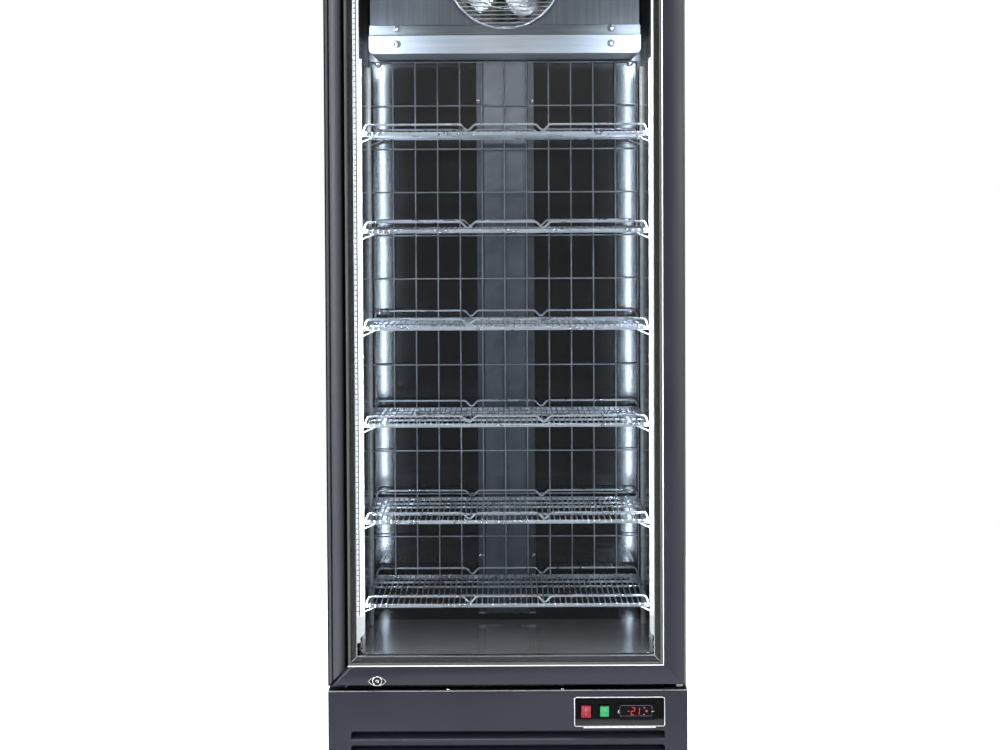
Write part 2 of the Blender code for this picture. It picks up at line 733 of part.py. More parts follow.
def make_door_frame(hinge_empty):
    left, right = DOOR_LEFT, DOOR_RIGHT
    bottom, top = DOOR_BOTTOM, DOOR_TOP
    glass_left, glass_right = left + FRAME_WIDTH, right - FRAME_WIDTH
    glass_bottom, glass_top = bottom + FRAME_WIDTH, top - FRAME_WIDTH
    mitre = GAP / 2
    rail_bottom = [
        (left + mitre, bottom), (right - mitre, bottom),
        (glass_right - mitre, glass_bottom), (glass_left + mitre, glass_bottom),
    ]
    rail_top = [
        (left + mitre, top), (glass_left + mitre, glass_top),
        (glass_right - mitre, glass_top), (right - mitre, top),
    ]
    stile_right = [
        (right, bottom + mitre), (right, top - mitre),
        (glass_right, glass_top - mitre), (glass_right, glass_bottom + mitre),
    ]
    stile_left = [
        (left, bottom + mitre), (glass_left, glass_bottom + mitre),
        (glass_left, glass_top - mitre), (left, top - mitre),
    ]
    frame = {}
    for name, outline in (
        ("bottom_rail", rail_bottom), ("top_rail", rail_top),
        ("hinge_stile", stile_right), ("handle_stile", stile_left),
    ):
        frame[name] = extrusion(name, outline, "XZ", DOOR_FRONT, DOOR_BACK, "charcoal_aluminium")
    # The handle stile's front is cut away for the grip, except for a bead beside the glass.
    cut(frame["handle_stile"], box_tool(
        "grip_channel",
        (left - 0.01, DOOR_FRONT - 0.01, bottom - 0.01),
        (glass_left - BEAD_WIDTH, GRIP_BACK, top + 0.01),
    ))
    cut(frame["handle_stile"], box_tool(
        "bead_step",
        (glass_left - 0.01, DOOR_FRONT - 0.01, bottom - 0.01),
        (glass_left + 0.01, BEAD_FRONT, top + 0.01),
    ))
    # Holes for the hinge pins, and the lock's bore and cam pocket.
    pin_hole = PIN_RADIUS + PIN_CLEARANCE
    lower = cylinder_tool(
        "lower_pin_hole", pin_hole, (HINGE_X, HINGE_Y, bottom - 0.01), (HINGE_X, HINGE_Y, bottom + 0.024), 24
    )
    upper = cylinder_tool(
        "upper_pin_hole", pin_hole, (HINGE_X, HINGE_Y, top - 0.024), (HINGE_X, HINGE_Y, top + 0.01), 24
    )
    cut(frame["bottom_rail"], lower)
    cut(frame["top_rail"], upper)
    cut(frame["hinge_stile"], lower, upper)
    cut(frame["bottom_rail"], cylinder_tool(
        "lock_bore",
        LOCK_RADIUS + GAP,
        (LOCK_X, DOOR_FRONT - 0.01, LOCK_Z),
        (LOCK_X, CAM_FRONT, LOCK_Z),
        24,
    ))
    cut(frame["bottom_rail"], cylinder_tool(
        "cam_pocket",
        CAM_LENGTH + 0.003,
        (LOCK_X, CAM_FRONT - 0.001, LOCK_Z),
        (LOCK_X, CAM_FRONT + CAM_THICKNESS + 0.001, LOCK_Z),
    ))
    for piece in frame.values():
        bake(piece)
    grip = [(left, GRIP_BACK - GAP), (left, DOOR_FRONT + 0.001), (left + 0.001, DOOR_FRONT)]
    grip += [(left + 0.0074, DOOR_FRONT), (left + 0.0084, DOOR_FRONT + 0.002)]
    bar_left = left + 0.0104
    bar_right = left + GRIP_WIDTH
    grip += grip_face(bar_left, bar_right, DOOR_FRONT, 8)
    grip += [(bar_right, GRIP_BACK - GAP)]
    mitre_line = FRAME_WIDTH
    handle = extrusion("door_grip", grip, "XY", bottom, top, "charcoal_aluminium")
    for name, level, direction in (("lower", bottom, 1), ("upper", top, -1)):
        wedge = extrusion(
            f"grip_mitre_{name}",
            [
                (left - 0.002, level - direction * 0.002),
                (left + mitre_line, level + direction * (mitre_line + GAP)),
                (left + mitre_line, level - direction * 0.002),
            ][::direction],
            "XZ",
            DOOR_FRONT - 0.01,
            GRIP_BACK + 0.01,
            "charcoal_aluminium",
        )
        PIECES.objects.unlink(wedge)
        keep_as_cutter(wedge)
        cut(handle, wedge)
    bake(handle)
    ride_on(hinge_empty, handle, *frame.values())


def make_glazing(hinge_empty):
    low = (DOOR_LEFT + FRAME_WIDTH + GAP, DOOR_BOTTOM + FRAME_WIDTH + GAP)
    high = (DOOR_RIGHT - FRAME_WIDTH - GAP, DOOR_TOP - FRAME_WIDTH - GAP)
    panes = []
    pane = 0.004
    outer_front, inner_front = -0.346, -0.322
    for name, front in (("glass_outer", outer_front), ("glass_inner", inner_front)):
        panes.append(box(name, (low[0], front, low[1]), (high[0], front + pane, high[1]), "glass"))
    border = 0.012
    spacer = ring(
        "pane_spacer",
        (low[0], outer_front + pane + GAP, low[1]),
        (high[0], inner_front - GAP, high[1]),
        (low[0] + border, low[1] + border),
        (high[0] - border, high[1] - border),
        "aluminium",
    )
    seal_width = 0.014
    seal_low = (DOOR_LEFT + 0.014, DOOR_BOTTOM + 0.0095)
    seal_high = (DOOR_RIGHT - 0.014, DOOR_TOP - 0.0095)
    seal = ring(
        "door_gasket",
        (seal_low[0], DOOR_BACK + GAP, seal_low[1]),
        (seal_high[0], BODY_FRONT - GAP, seal_high[1]),
        (seal_low[0] + seal_width, seal_low[1] + seal_width),
        (seal_high[0] - seal_width, seal_high[1] - seal_width),
        "rubber",
    )
    for piece in (spacer, seal):
        bake(piece)
    ride_on(hinge_empty, *panes, spacer, seal)


def make_lock(hinge_empty):
    half_length, half_height = 0.018, 0.0095
    outline = []
    steps = 24
    for step in range(steps):
        angle = 2 * math.pi * step / steps
        outline.append((LOCK_X + half_length * math.cos(angle), LOCK_Z + half_height * math.sin(angle)))
    plate = extrusion("lock_escutcheon", outline, "XZ", DOOR_FRONT - 0.0023, DOOR_FRONT - GAP, "chrome")
    before, behind = (LOCK_X, FRONT - 0.01, LOCK_Z), (LOCK_X, DOOR_FRONT + 0.01, LOCK_Z)
    cut(plate, cylinder_tool("escutcheon_hole", LOCK_RADIUS + GAP, before, behind, 24))
    bake(plate)
    ride_on(hinge_empty, plate)
    barrel_front, barrel_back = DOOR_FRONT - 0.0026, CAM_FRONT + 0.001
    barrel = cylinder(
        "lock_cylinder",
        LOCK_RADIUS,
        (LOCK_X, barrel_front, LOCK_Z),
        (LOCK_X, barrel_back, LOCK_Z),
        "chrome",
        segments=24,
    )
    cut(barrel, box_tool(
        "keyway",
        (LOCK_X - 0.001, FRONT - 0.01, LOCK_Z - 0.004),
        (LOCK_X + 0.001, DOOR_FRONT + 0.012, LOCK_Z + 0.004),
    ))
    join(barrel, box_tool(
        "lock_cam",
        (LOCK_X - CAM_HALF_WIDTH, CAM_FRONT, LOCK_Z - CAM_HALF_WIDTH),
        (LOCK_X + CAM_LENGTH, CAM_FRONT + CAM_THICKNESS, LOCK_Z + CAM_HALF_WIDTH),
    ))
    bake(barrel)
    ride_on(axis_empty("lock_axis", (LOCK_X, DOOR_FRONT, LOCK_Z), hinge_empty), barrel)


def make_hinge_brackets():
    """Angle plates on the cabinet's front, with a pin up into the door and a pin down into it."""
    left, right = 0.300, 0.3405
    front = HINGE_Y - 0.015
    thickness = 0.003
    flange_height = 0.0155
    pin_reach = 0.022  # how far a pin goes into the door
    low = BASE_TOP + GAP
    back = BODY_FRONT - GAP
    steel = "galvanised_steel"
    lower = box("lower_hinge_bracket", (left, front, low), (right, back, low + thickness), steel)
    join(
        lower,
        box_tool(
            "lower_bracket_flange",
            (left, back - thickness, low),
            (right, back, low + flange_height),
        ),
        cylinder_tool(
            "lower_hinge_pin",
            PIN_RADIUS,
            (HINGE_X, HINGE_Y, low + 0.001),
            (HINGE_X, HINGE_Y, DOOR_BOTTOM + pin_reach),
            20,
        ),
    )
    high = BODY_TOP + 0.0002
    upper = box("upper_hinge_bracket", (left, front, high - thickness), (right, back, high), steel)
    join(
        upper,
        box_tool(
            "upper_bracket_flange",
            (left, back - thickness, high - flange_height),
            (right, back, high),
        ),
        cylinder_tool(
            "upper_hinge_pin",
            PIN_RADIUS,
            (HINGE_X, HINGE_Y, DOOR_TOP - pin_reach),
            (HINGE_X, HINGE_Y, high - 0.001),
            20,
        ),
    )


# Interior


def make_evaporator():
    half = TRAY_HALF_WIDTH
    wall = 0.0015
    outline = [(half, TRAY_TOP), (-half, TRAY_TOP)]
    steps = 4
    for side, first in ((-1, 180), (1, 270)):
        for step in range(steps + 1):
            angle = math.radians(first + 90 * step / steps)
            across = side * (half - TRAY_CORNER) + TRAY_CORNER * math.cos(angle)
            outline.append((across, TRAY_BOTTOM + TRAY_CORNER + TRAY_CORNER * math.sin(angle)))
    tray = extrusion("drip_tray", outline, "XZ", TRAY_FRONT, TRAY_BACK, "stainless_steel")
    cut(tray, box_tool(
        "tray_hollow",
        (-half + wall, TRAY_FRONT + wall, TRAY_BOTTOM + wall),
        (half - wall, TRAY_BACK - wall, TRAY_TOP + 0.01),
        rounding=TRAY_CORNER - wall,
        rounded_axis=1,
    ))
    cover_half = half - 0.003
    cover = box(
        "evaporator_cover",
        (-cover_half, COVER_FRONT, TRAY_TOP + GAP),
        (cover_half, INNER_BACK - GAP, INNER_CEILING - GAP),
        "galvanised_steel",
    )
    cut(cover, box_tool(
        "cover_hollow",
        (-cover_half + wall, COVER_FRONT + wall, TRAY_TOP - 0.01),
        (cover_half - wall, INNER_BACK + 0.01, INNER_CEILING + 0.01),
    ))
    before, behind = (0, COVER_FRONT - 0.01, FAN_HEIGHT), (0, COVER_FRONT + 0.01, FAN_HEIGHT)
    cut(cover, cylinder_tool("fan_hole", FAN_HOLE_RADIUS, before, behind, 40))
    fins = comb_outline(-0.235, 0.235, 0.070, 0.210, 16, 0.4)
    extrusion("evaporator_coil", fins, "XY", TRAY_TOP + 0.0125, INNER_CEILING - 0.015, "copper_fins")
    motor_front = EVAPORATOR_FAN_Y + 0.016
    motor = cylinder(
        "evaporator_fan_motor", 0.032, (0, motor_front, FAN_HEIGHT), (0, motor_front + 0.052, FAN_HEIGHT),
        "dark_plastic", segments=24,
    )
    join(motor, box_tool(
        "evaporator_motor_bracket",
        (-cover_half + wall + GAP, motor_front + 0.030, FAN_HEIGHT - 0.012),
        (cover_half - wall - GAP, motor_front + 0.033, FAN_HEIGHT + 0.012),
    ))
    make_fan_guard()


def make_fan_guard():
    """A wire rim with spokes, in front of the fan."""
    wire = 0.003
    spokes = 10
    shape = bmesh.new()
    radius = GUARD_RADIUS - wire / 2
    bmesh.ops.create_circle(shape, cap_ends=True, cap_tris=True, segments=spokes, radius=radius)
    bmesh.ops.transform(shape, matrix=Matrix.Rotation(math.radians(90), 4, "X"), verts=shape.verts)
    mesh = bpy.data.meshes.new("fan_guard")
    shape.to_mesh(mesh)
    shape.free()
    guard = bpy.data.objects.new("fan_guard", mesh)
    guard.location = (0, COVER_FRONT - 0.006, FAN_HEIGHT)
    wires = guard.modifiers.new("Wires", "WIREFRAME")
    wires.thickness = wire
    wires.use_even_offset = False
    wires.use_boundary = True
    finish_piece(guard, "zinc_wire")


def make_air_duct():
    wall = 0.0015
    flange, face = 0.0595, 0.0465
    back = INNER_BACK - GAP
    front = 0.275
    outline = [
        (-flange, back), (-flange, back - wall), (-face, back - wall), (-face, front), (face, front),
        (face, back - wall), (flange, back - wall), (flange, back), (face - wall, back),
        (face - wall, front + wall), (-face + wall, front + wall), (-face + wall, back),
    ]
    extrusion("air_duct", outline, "XY", INNER_FLOOR + 0.016, TRAY_BOTTOM - 0.002, "galvanised_steel")


def make_back_grid():
    columns, rows = 6, 6
    half_width, low, high = 0.2770, 0.4451, 1.5222
    wire_lattice(
        "back_grid",
        columns,
        rows,
        (2 * half_width / columns, (high - low) / rows),
        (0, 0.268, (low + high) / 2),
        0.003,
        "zinc_wire",
        "XZ",
    )


def make_pilasters():
    """Each pilaster has one clip under each shelf."""
    thickness, clip = 0.0055, 0.0152
    low, high = INNER_FLOOR + 0.002, 1.510
    for side, side_name in ((-1, "left"), (1, "right")):
        wall = side * (INNER_HALF_WIDTH - GAP)
        face = side * (INNER_HALF_WIDTH - GAP - thickness)
        tip = side * (INNER_HALF_WIDTH - GAP - thickness - clip)
        outline = [(wall, high), (wall, low), (face, low)]
        for shelf in SHELF_HEIGHTS:
            top = shelf - SHELF_WIRE - 2 * GAP
            outline += [(face, top - CLIP_HEIGHT), (tip, top - CLIP_HEIGHT), (tip, top), (face, top)]
        outline += [(face, high)]
        for row, front in (("front", -0.235), ("rear", 0.205)):
            extrusion(f"pilaster_{row}_{side_name}", outline, "XZ", front, front + 0.020, "galvanised_steel")


def make_shelves():
    columns, rows = 8, 3
    width = 2 * SHELF_HALF_WIDTH - SHELF_WIRE
    depth = SHELF_BACK - SHELF_FRONT - SHELF_WIRE
    middle = (SHELF_BACK + SHELF_FRONT) / 2
    for number, height in enumerate(SHELF_HEIGHTS, start=1):
        centre = (0, middle, height - SHELF_WIRE / 2)
        shelf = wire_lattice(
            f"shelf_{number}", columns, rows, (width / columns, depth / rows), centre, SHELF_WIRE,
            "zinc_wire", "XY", guards=SHELF_GUARD,
        )
        bake(shelf)
        ride_on(axis_empty(f"shelf_{number}_lift_axis", centre), shelf)


def make_led_strips():
    for side, name in ((-1, "led_strip_left"), (1, "led_strip_right")):
        outer = side * (MOUTH_HALF_WIDTH - GAP)
        inner = side * (MOUTH_HALF_WIDTH - GAP - 0.016)
        box(name, (min(outer, inner), -0.292, 0.383), (max(outer, inner), -0.270, 1.800), "light_diffuser",
            rounding=0.002, rounded_axis=2)


# Light box


def make_canopy():
    housing = box(
        "canopy_housing",
        (-HALF_WIDTH, CANOPY_FRONT, CANOPY_BOTTOM),
        (HALF_WIDTH, CANOPY_BACK, HEIGHT),
        "black_steel",
        rounding=0.004,
        rounded_axis=0,
    )
    cut(housing, box_tool(
        "canopy_hollow",
        (-HALF_WIDTH + 0.006, CANOPY_FRONT - 0.01, CANOPY_BOTTOM + 0.008),
        (HALF_WIDTH - 0.006, CANOPY_BACK - SKIN, HEIGHT - 0.008),
    ))
    box(
        "sign_panel",
        (-HALF_WIDTH + 0.006 + GAP, CANOPY_FRONT + 0.002, CANOPY_BOTTOM + 0.008 + GAP),
        (HALF_WIDTH - 0.006 - GAP, CANOPY_FRONT + 0.005, HEIGHT - 0.008 - GAP),
        "light_diffuser",
    )
    cylinder(
        "canopy_lamp", 0.013, (-0.300, -0.290, 1.950), (0.300, -0.290, 1.950), "light_diffuser", segments=16
    )


def main():
    make_cabinet_shell()
    make_insulation_and_liner()
    make_feet()
    make_front_grille()
    make_rear_grille()
    make_power_inlet()
    make_refrigeration_unit()
    condenser_fan_centre = (CONDENSER_FAN_X, CONDENSER_FAN_Y, CONDENSER_FAN_Z)
    make_fan("condenser_fan", condenser_fan_centre, CONDENSER_FAN_RADIUS, 0.016, 4)
    make_control_panel()
    make_hinge_brackets()
    door_empty = axis_empty("door_hinge_axis", (HINGE_X, HINGE_Y, 0))
    make_door_frame(door_empty)
    make_glazing(door_empty)
    make_lock(door_empty)
    make_evaporator()
    make_fan("evaporator_fan", (0, EVAPORATOR_FAN_Y, FAN_HEIGHT), EVAPORATOR_FAN_RADIUS, 0.014, 5)
    make_air_duct()
    make_back_grid()
    make_pilasters()
    make_shelves()
    make_led_strips()
    make_canopy()


clear_scene()
PIECES = new_collection("display_freezer")
CUTTERS = new_collection("cutters")
CUTTERS.hide_render = True
main()
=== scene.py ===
import math

import bmesh
import bpy
from mathutils import Matrix, Vector


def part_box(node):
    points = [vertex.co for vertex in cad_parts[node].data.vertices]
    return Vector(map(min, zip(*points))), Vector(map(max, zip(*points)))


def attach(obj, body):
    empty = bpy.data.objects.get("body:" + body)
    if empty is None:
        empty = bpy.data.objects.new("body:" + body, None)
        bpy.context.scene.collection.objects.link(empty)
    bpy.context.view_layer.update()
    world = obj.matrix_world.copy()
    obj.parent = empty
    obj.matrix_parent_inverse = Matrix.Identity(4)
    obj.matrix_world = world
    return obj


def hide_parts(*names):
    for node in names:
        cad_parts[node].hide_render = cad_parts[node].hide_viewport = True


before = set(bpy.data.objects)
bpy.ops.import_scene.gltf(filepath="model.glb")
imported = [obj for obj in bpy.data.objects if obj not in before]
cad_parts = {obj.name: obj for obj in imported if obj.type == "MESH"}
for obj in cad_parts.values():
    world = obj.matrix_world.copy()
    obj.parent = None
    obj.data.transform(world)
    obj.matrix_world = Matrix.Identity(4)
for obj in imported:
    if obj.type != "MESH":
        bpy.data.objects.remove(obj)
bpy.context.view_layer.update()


# Materials ---------------------------------------------------


def new_material(name):
    material = bpy.data.materials.new(name)
    material.use_nodes = True
    return material, material.node_tree, material.node_tree.nodes["Principled BSDF"]


def node(tree, kind, inputs=None, **settings):
    made = tree.nodes.new(kind)
    for key, value in settings.items():
        setattr(made, key, value)
    for key, value in (inputs or {}).items():
        if isinstance(value, bpy.types.NodeSocket):
            tree.links.new(value, made.inputs[key])
        else:
            made.inputs[key].default_value = value
    return made


def object_place(tree, stretch=(1, 1, 1)):
    """Object coordinates, in metres, scaled by stretch."""
    place = node(tree, "ShaderNodeTexCoord")
    return node(tree, "ShaderNodeMapping", {"Vector": place.outputs["Object"], "Scale": stretch}).outputs[0]


def noise(tree, place, scale, detail=3.0, roughness=0.55):
    inputs = {"Vector": place, "Scale": scale, "Detail": detail, "Roughness": roughness}
    return node(tree, "ShaderNodeTexNoise", inputs).outputs["Fac"]


def remap(tree, value, low, high, start=0.3, end=0.7):
    inputs = {"Value": value, "From Min": start, "From Max": end, "To Min": low, "To Max": high}
    return node(tree, "ShaderNodeMapRange", inputs, clamp=True).outputs[0]


def shades(tree, factor, first, second):
    """A colour between two others, by factor. Each is a colour or a socket."""
    made = tree.nodes.new("ShaderNodeMix")
    made.data_type = "RGBA"
    tree.links.new(factor, made.inputs[0])
    for socket, colour in ((made.inputs[6], first), (made.inputs[7], second)):
        if isinstance(colour, bpy.types.NodeSocket):
            tree.links.new(colour, socket)
        else:
            socket.default_value = (*colour, 1)
    return made.outputs[2]


def add(tree, first, second):
    return node(tree, "ShaderNodeMath", {0: first, 1: second}, operation="ADD").outputs[0]


def scaled(colour, factor):
    return tuple(min(1.0, channel * factor) for channel in colour)


def finish_surface(tree, shader, shade, colour, dark, light, roughness, relief):
    """Base colour between a darker and a lighter one by shade, a roughness socket, and a bump.

    The relief is its height socket, its strength and its depth in metres."""
    base = shades(tree, shade, scaled(colour, dark), scaled(colour, light))
    tree.links.new(base, shader.inputs["Base Color"])
    tree.links.new(roughness, shader.inputs["Roughness"])
    height, strength, depth = relief
    bump = node(tree, "ShaderNodeBump", {"Height": height, "Strength": strength, "Distance": depth})
    tree.links.new(bump.outputs[0], shader.inputs["Normal"])


def surface(name, colour, roughness, metallic=0.0, fine=600, broad=9, tint=0.10, gloss_change=0.06,
            relief=0.0001, relief_strength=0.25, specular=0.5):
    """A finish whose colour, gloss and relief vary by fine grain and by broad patches."""
    material, tree, shader = new_material(name)
    place = object_place(tree)
    grain = noise(tree, place, fine, 4.0)
    patches = noise(tree, place, broad)
    finish_surface(tree, shader, remap(tree, add(tree, grain, patches), 0.0, 1.0, 0.7, 1.3), colour, 1 - tint,
                   1 + tint, remap(tree, patches, roughness - gloss_change, roughness + gloss_change),
                   (grain, relief_strength, relief))
    shader.inputs["Metallic"].default_value = metallic
    shader.inputs["Specular IOR Level"].default_value = specular
    return material


def powder_coat(name, colour, roughness, tint=0.10):
    """Sprayed paint with a fine orange-peel skin, small bright flecks and broad changes of gloss."""
    material, tree, shader = new_material(name)
    place = object_place(tree)
    cells = node(tree, "ShaderNodeTexVoronoi", {"Vector": place, "Scale": 900.0}, feature="SMOOTH_F1")
    flecks = noise(tree, place, 2600.0, 2.0)
    patches = noise(tree, place, 3.5)
    finish_surface(tree, shader, remap(tree, patches, 0.0, 1.0), colour, 1 - tint, 1 + tint,
                   remap(tree, patches, roughness - 0.05, roughness + 0.05),
                   (add(tree, cells.outputs[0], flecks), 0.22, 0.00012))
    base = shader.inputs["Base Color"].links[0].from_socket
    bright = tuple(channel * 2.2 + 0.01 for channel in colour)
    flecked = shades(tree, remap(tree, flecks, 0.0, 1.0, 0.62, 0.78), base, bright)
    tree.links.new(flecked, shader.inputs["Base Color"])
    return material


def brushed(name, colour, roughness, along="X", tint=0.12):
    """Metal brushed along one axis: fine long scratches, with some deeper ones."""
    material, tree, shader = new_material(name)
    place = object_place(tree, {"X": (0.02, 1, 1), "Z": (1, 1, 0.02)}[along])
    scratches = noise(tree, place, 1500.0, 5.0, 0.65)
    bands = noise(tree, place, 160.0)
    patches = noise(tree, object_place(tree), 7.0)
    gloss = remap(tree, add(tree, scratches, patches), roughness - 0.07, roughness + 0.09, 0.7, 1.3)
    finish_surface(tree, shader, remap(tree, add(tree, scratches, bands), 0, 1, 0.75, 1.25), colour, 1 - tint,
                   1 + tint, gloss, (scratches, 0.25, 0.00006))
    shader.inputs["Metallic"].default_value = 1.0
    shader.inputs["Anisotropic"].default_value = 0.4
    return material


def galvanised(name, colour, roughness, metallic=1.0, size=45.0):
    """Zinc-coated sheet, with crystals of slightly different grey."""
    material, tree, shader = new_material(name)
    place = object_place(tree)
    crystals = node(tree, "ShaderNodeTexVoronoi", {"Vector": place, "Scale": size, "Randomness": 1.0})
    shade = node(tree, "ShaderNodeSeparateColor", {"Color": crystals.outputs["Color"]}).outputs[0]
    both = add(tree, shade, noise(tree, place, 700.0, 4.0))
    finish_surface(tree, shader, remap(tree, both, 0, 1, 0.4, 1.6), colour, 0.80, 1.15,
                   remap(tree, shade, roughness - 0.06, roughness + 0.08, 0, 1), (both, 0.15, 0.00008))
    shader.inputs["Metallic"].default_value = metallic
    return material


def glass_material(name):
    """Clear, slightly green glass. What is behind it shows unrefracted, as through a thin flat pane."""
    material, tree, shader = new_material(name)
    tree.nodes.remove(shader)
    facing = node(tree, "ShaderNodeLayerWeight", {"Blend": 0.5}).outputs["Facing"]
    power = node(tree, "ShaderNodeMath", {0: facing, 1: 5.0}, operation="POWER").outputs[0]
    share = node(tree, "ShaderNodeMapRange", {"Value": power, "To Min": 0.012, "To Max": 1.0}).outputs[0]
    smear = noise(tree, object_place(tree), 4.0, 4.0)
    rough = remap(tree, smear, 0.0, 0.05)
    clear = node(tree, "ShaderNodeBsdfTransparent", {"Color": (0.978, 0.988, 0.988, 1)})
    gloss = node(tree, "ShaderNodeBsdfGlossy", {"Roughness": rough, "Color": (1, 1, 1, 1)})
    both = node(tree, "ShaderNodeMixShader", {0: share, 1: clear.outputs[0], 2: gloss.outputs[0]})
    tree.links.new(both.outputs[0], tree.nodes["Material Output"].inputs["Surface"])
    return material


def glowing(name, colour, strength, base=(0.8, 0.8, 0.8), roughness=0.35, scale=220.0, change=0.12):
    """A lit plastic whose brightness varies a little over its surface."""
    material, tree, shader = new_material(name)
    factor = remap(tree, noise(tree, object_place(tree), scale), 0, 1)
    tree.links.new(shades(tree, factor, scaled(colour, 1 - change), colour), shader.inputs["Emission Color"])
    shader.inputs["Emission Strength"].default_value = strength
    finish_surface(tree, shader, factor, base, 0.9, 1.0,
                   remap(tree, factor, roughness - 0.05, roughness + 0.05, 0, 1), (factor, 0.1, 0.0001))
    return material


PAINT = powder_coat("cabinet_paint", (0.0170, 0.0188, 0.0310), 0.42)
STRIP_PAINT = powder_coat("strip_paint", (0.006, 0.007, 0.011), 0.55)
DOOR_PAINT = powder_coat("door_paint", (0.0160, 0.0178, 0.0300), 0.38, tint=0.07)
GRIP_PAINT = powder_coat("grip_paint", (0.066, 0.068, 0.082), 0.33, tint=0.06)
BLACK_PLASTIC = surface("black_plastic", (0.012, 0.012, 0.014), 0.38, fine=1800, relief=0.00006)
MOUTH_PLASTIC = surface("mouth_plastic", (0.020, 0.020, 0.021), 0.40, fine=1500, relief=0.00005, tint=0.12)
GLOSS_BLACK = surface("gloss_black", (0.006, 0.006, 0.007), 0.14, fine=900, relief=0.00002, gloss_change=0.04)
LINER = surface("black_liner", (0.011, 0.0098, 0.0090), 0.085, fine=260, broad=5, tint=0.15,
                gloss_change=0.008, relief=0.000003, relief_strength=0.03, specular=1.0)
FLOOR_LINER = surface("liner_floor", (0.290, 0.272, 0.262), 0.085, fine=260, broad=5, tint=0.12,
                      gloss_change=0.008, relief=0.000003, relief_strength=0.03, specular=0.6)
WALL_LINER = surface("liner_side", (0.011, 0.0098, 0.0090), 0.16, fine=260, broad=5, tint=0.15,
                     gloss_change=0.008, relief=0.000003, relief_strength=0.03, specular=0.35)
STAINLESS = brushed("stainless", (0.62, 0.63, 0.66), 0.44)
FLANGE_STEEL = brushed("flange_steel", (0.36, 0.365, 0.38), 0.34, tint=0.15)
COVER_STEEL = brushed("cover_steel", (0.17, 0.172, 0.180), 0.48, along="Z", tint=0.2)
DUCT_STEEL = galvanised("duct_steel", (0.072, 0.073, 0.080), 0.46, metallic=0.20, size=60)
PILASTER_STEEL = galvanised("pilaster_steel", (0.50, 0.50, 0.51), 0.50, metallic=0.35, size=90)
GALVANISED = galvanised("galvanised", (0.50, 0.51, 0.53), 0.42)
ZINC_WIRE = surface("zinc_wire", (0.58, 0.60, 0.65), 0.30, 1.0, fine=500, broad=25, tint=0.08,
                    gloss_change=0.07, relief=0.00008)
DARK_WIRE = surface("grid_wire", (0.42, 0.43, 0.47), 0.42, 1.0, fine=500, broad=25, tint=0.08, relief=0.00002)
CHROME = surface("chrome", (0.86, 0.87, 0.89), 0.09, 1.0, fine=300, broad=30, tint=0.04,
                 gloss_change=0.03, relief=0.00003, relief_strength=0.1)
# A lighter, glossier metal for the base's rounded top edge: a painted highlight.
HIGHLIGHT_EDGE = surface("painted_highlight_edge", (0.30, 0.305, 0.33), 0.30, 0.5, fine=500, broad=30, tint=0.10, relief=0.00003)
BEZEL_CHROME = surface("bezel_chrome", (0.80, 0.81, 0.83), 0.16, 1.0, fine=300, broad=30, tint=0.05)
BRIGHT_EDGE = brushed("bright_edge", (0.80, 0.81, 0.83), 0.26, tint=0.06)
TRIM_EDGE = brushed("trim_edge", (0.46, 0.47, 0.49), 0.34, tint=0.06)
ALUMINIUM = brushed("aluminium", (0.72, 0.73, 0.75), 0.30)
SCREW_STEEL = surface("screw_steel", (0.78, 0.78, 0.80), 0.20, 1.0, fine=900, broad=90, relief=0.00005)
FINS = surface("coil_fins", (0.60, 0.56, 0.50), 0.45, 1.0, fine=800, broad=20, tint=0.18)
COPPER = surface("copper", (0.72, 0.35, 0.20), 0.28, 1.0, fine=500, broad=25, tint=0.18)
COMPRESSOR_PAINT = powder_coat("compressor_paint", (0.012, 0.012, 0.013), 0.30)
FOAM = surface("foam", (0.72, 0.60, 0.33), 0.92, fine=700, broad=30, tint=0.2, relief=0.0008,
               relief_strength=0.6)
RUBBER = surface("rubber", (0.018, 0.018, 0.019), 0.62, fine=1400, relief=0.0001, tint=0.2)
BEAD_RUBBER = surface("glazing_bead", (0.085, 0.098, 0.088), 0.34, fine=900, relief=0.00006, tint=0.15)
NYLON = surface("nylon", (0.80, 0.80, 0.78), 0.35, fine=800, relief=0.00006, tint=0.05)
GLASS = glass_material("glass")
LED_LENS = glowing("led_lens", (0.95, 0.98, 1.0), 1.15, change=0.04)
LED_CHIP = glowing("led_chip", (0.90, 0.95, 1.0), 0.90, scale=900.0, change=0.2)
# The strips' white end caps glow, though they hold no lamp: painted light.
GLOWING_CAP = glowing("cap_painted_glow", (0.95, 0.97, 1.0), 0.50, base=(0.80, 0.80, 0.81), change=0.06)
EDGE_BLACK = surface("edge_black", (0.004, 0.004, 0.005), 0.75, fine=1400, relief=0.0001, tint=0.2,
                     specular=0.12)
LED_BOARD = surface("led_board", (0.30, 0.32, 0.36), 0.45, fine=900, broad=60)
STRIP_CHANNEL = brushed("strip_channel", (0.09, 0.092, 0.10), 0.45, along="Z")
SIGN_LIGHT = glowing("sign_light", (0.95, 0.97, 1.0), 0.55, base=(0.85, 0.86, 0.88), scale=6.0, change=0.15)
LAMP = glowing("lamp", (0.95, 0.97, 1.0), 1.0)
RED_ROCKER = glowing("red_rocker", (0.60, 0.030, 0.05), 0.20, base=(0.32, 0.022, 0.032), roughness=0.30,
                     scale=120.0)
GREEN_ROCKER = glowing("green_rocker", (0.03, 0.62, 0.20), 0.24, base=(0.02, 0.34, 0.12), roughness=0.30,
                       scale=120.0)
DISPLAY_RED = glowing("display_red", (1.0, 0.03, 0.06), 0.75, base=(0.4, 0.02, 0.02), scale=900.0)
PRINT_WHITE = surface("print_white", (0.50, 0.52, 0.54), 0.45, fine=1500, relief=0.00002, tint=0.08)
FAN_PLASTIC = surface("fan_blade", (0.70, 0.71, 0.73), 0.28, 0.6, fine=500, broad=30, tint=0.1, relief=0.00006)
WIRE_GREY = surface("grey_lead", (0.10, 0.10, 0.10), 0.4, fine=900, relief=0.00005)
WIRE_WHITE = surface("white_lead", (0.75, 0.75, 0.73), 0.4, fine=900, relief=0.00005)
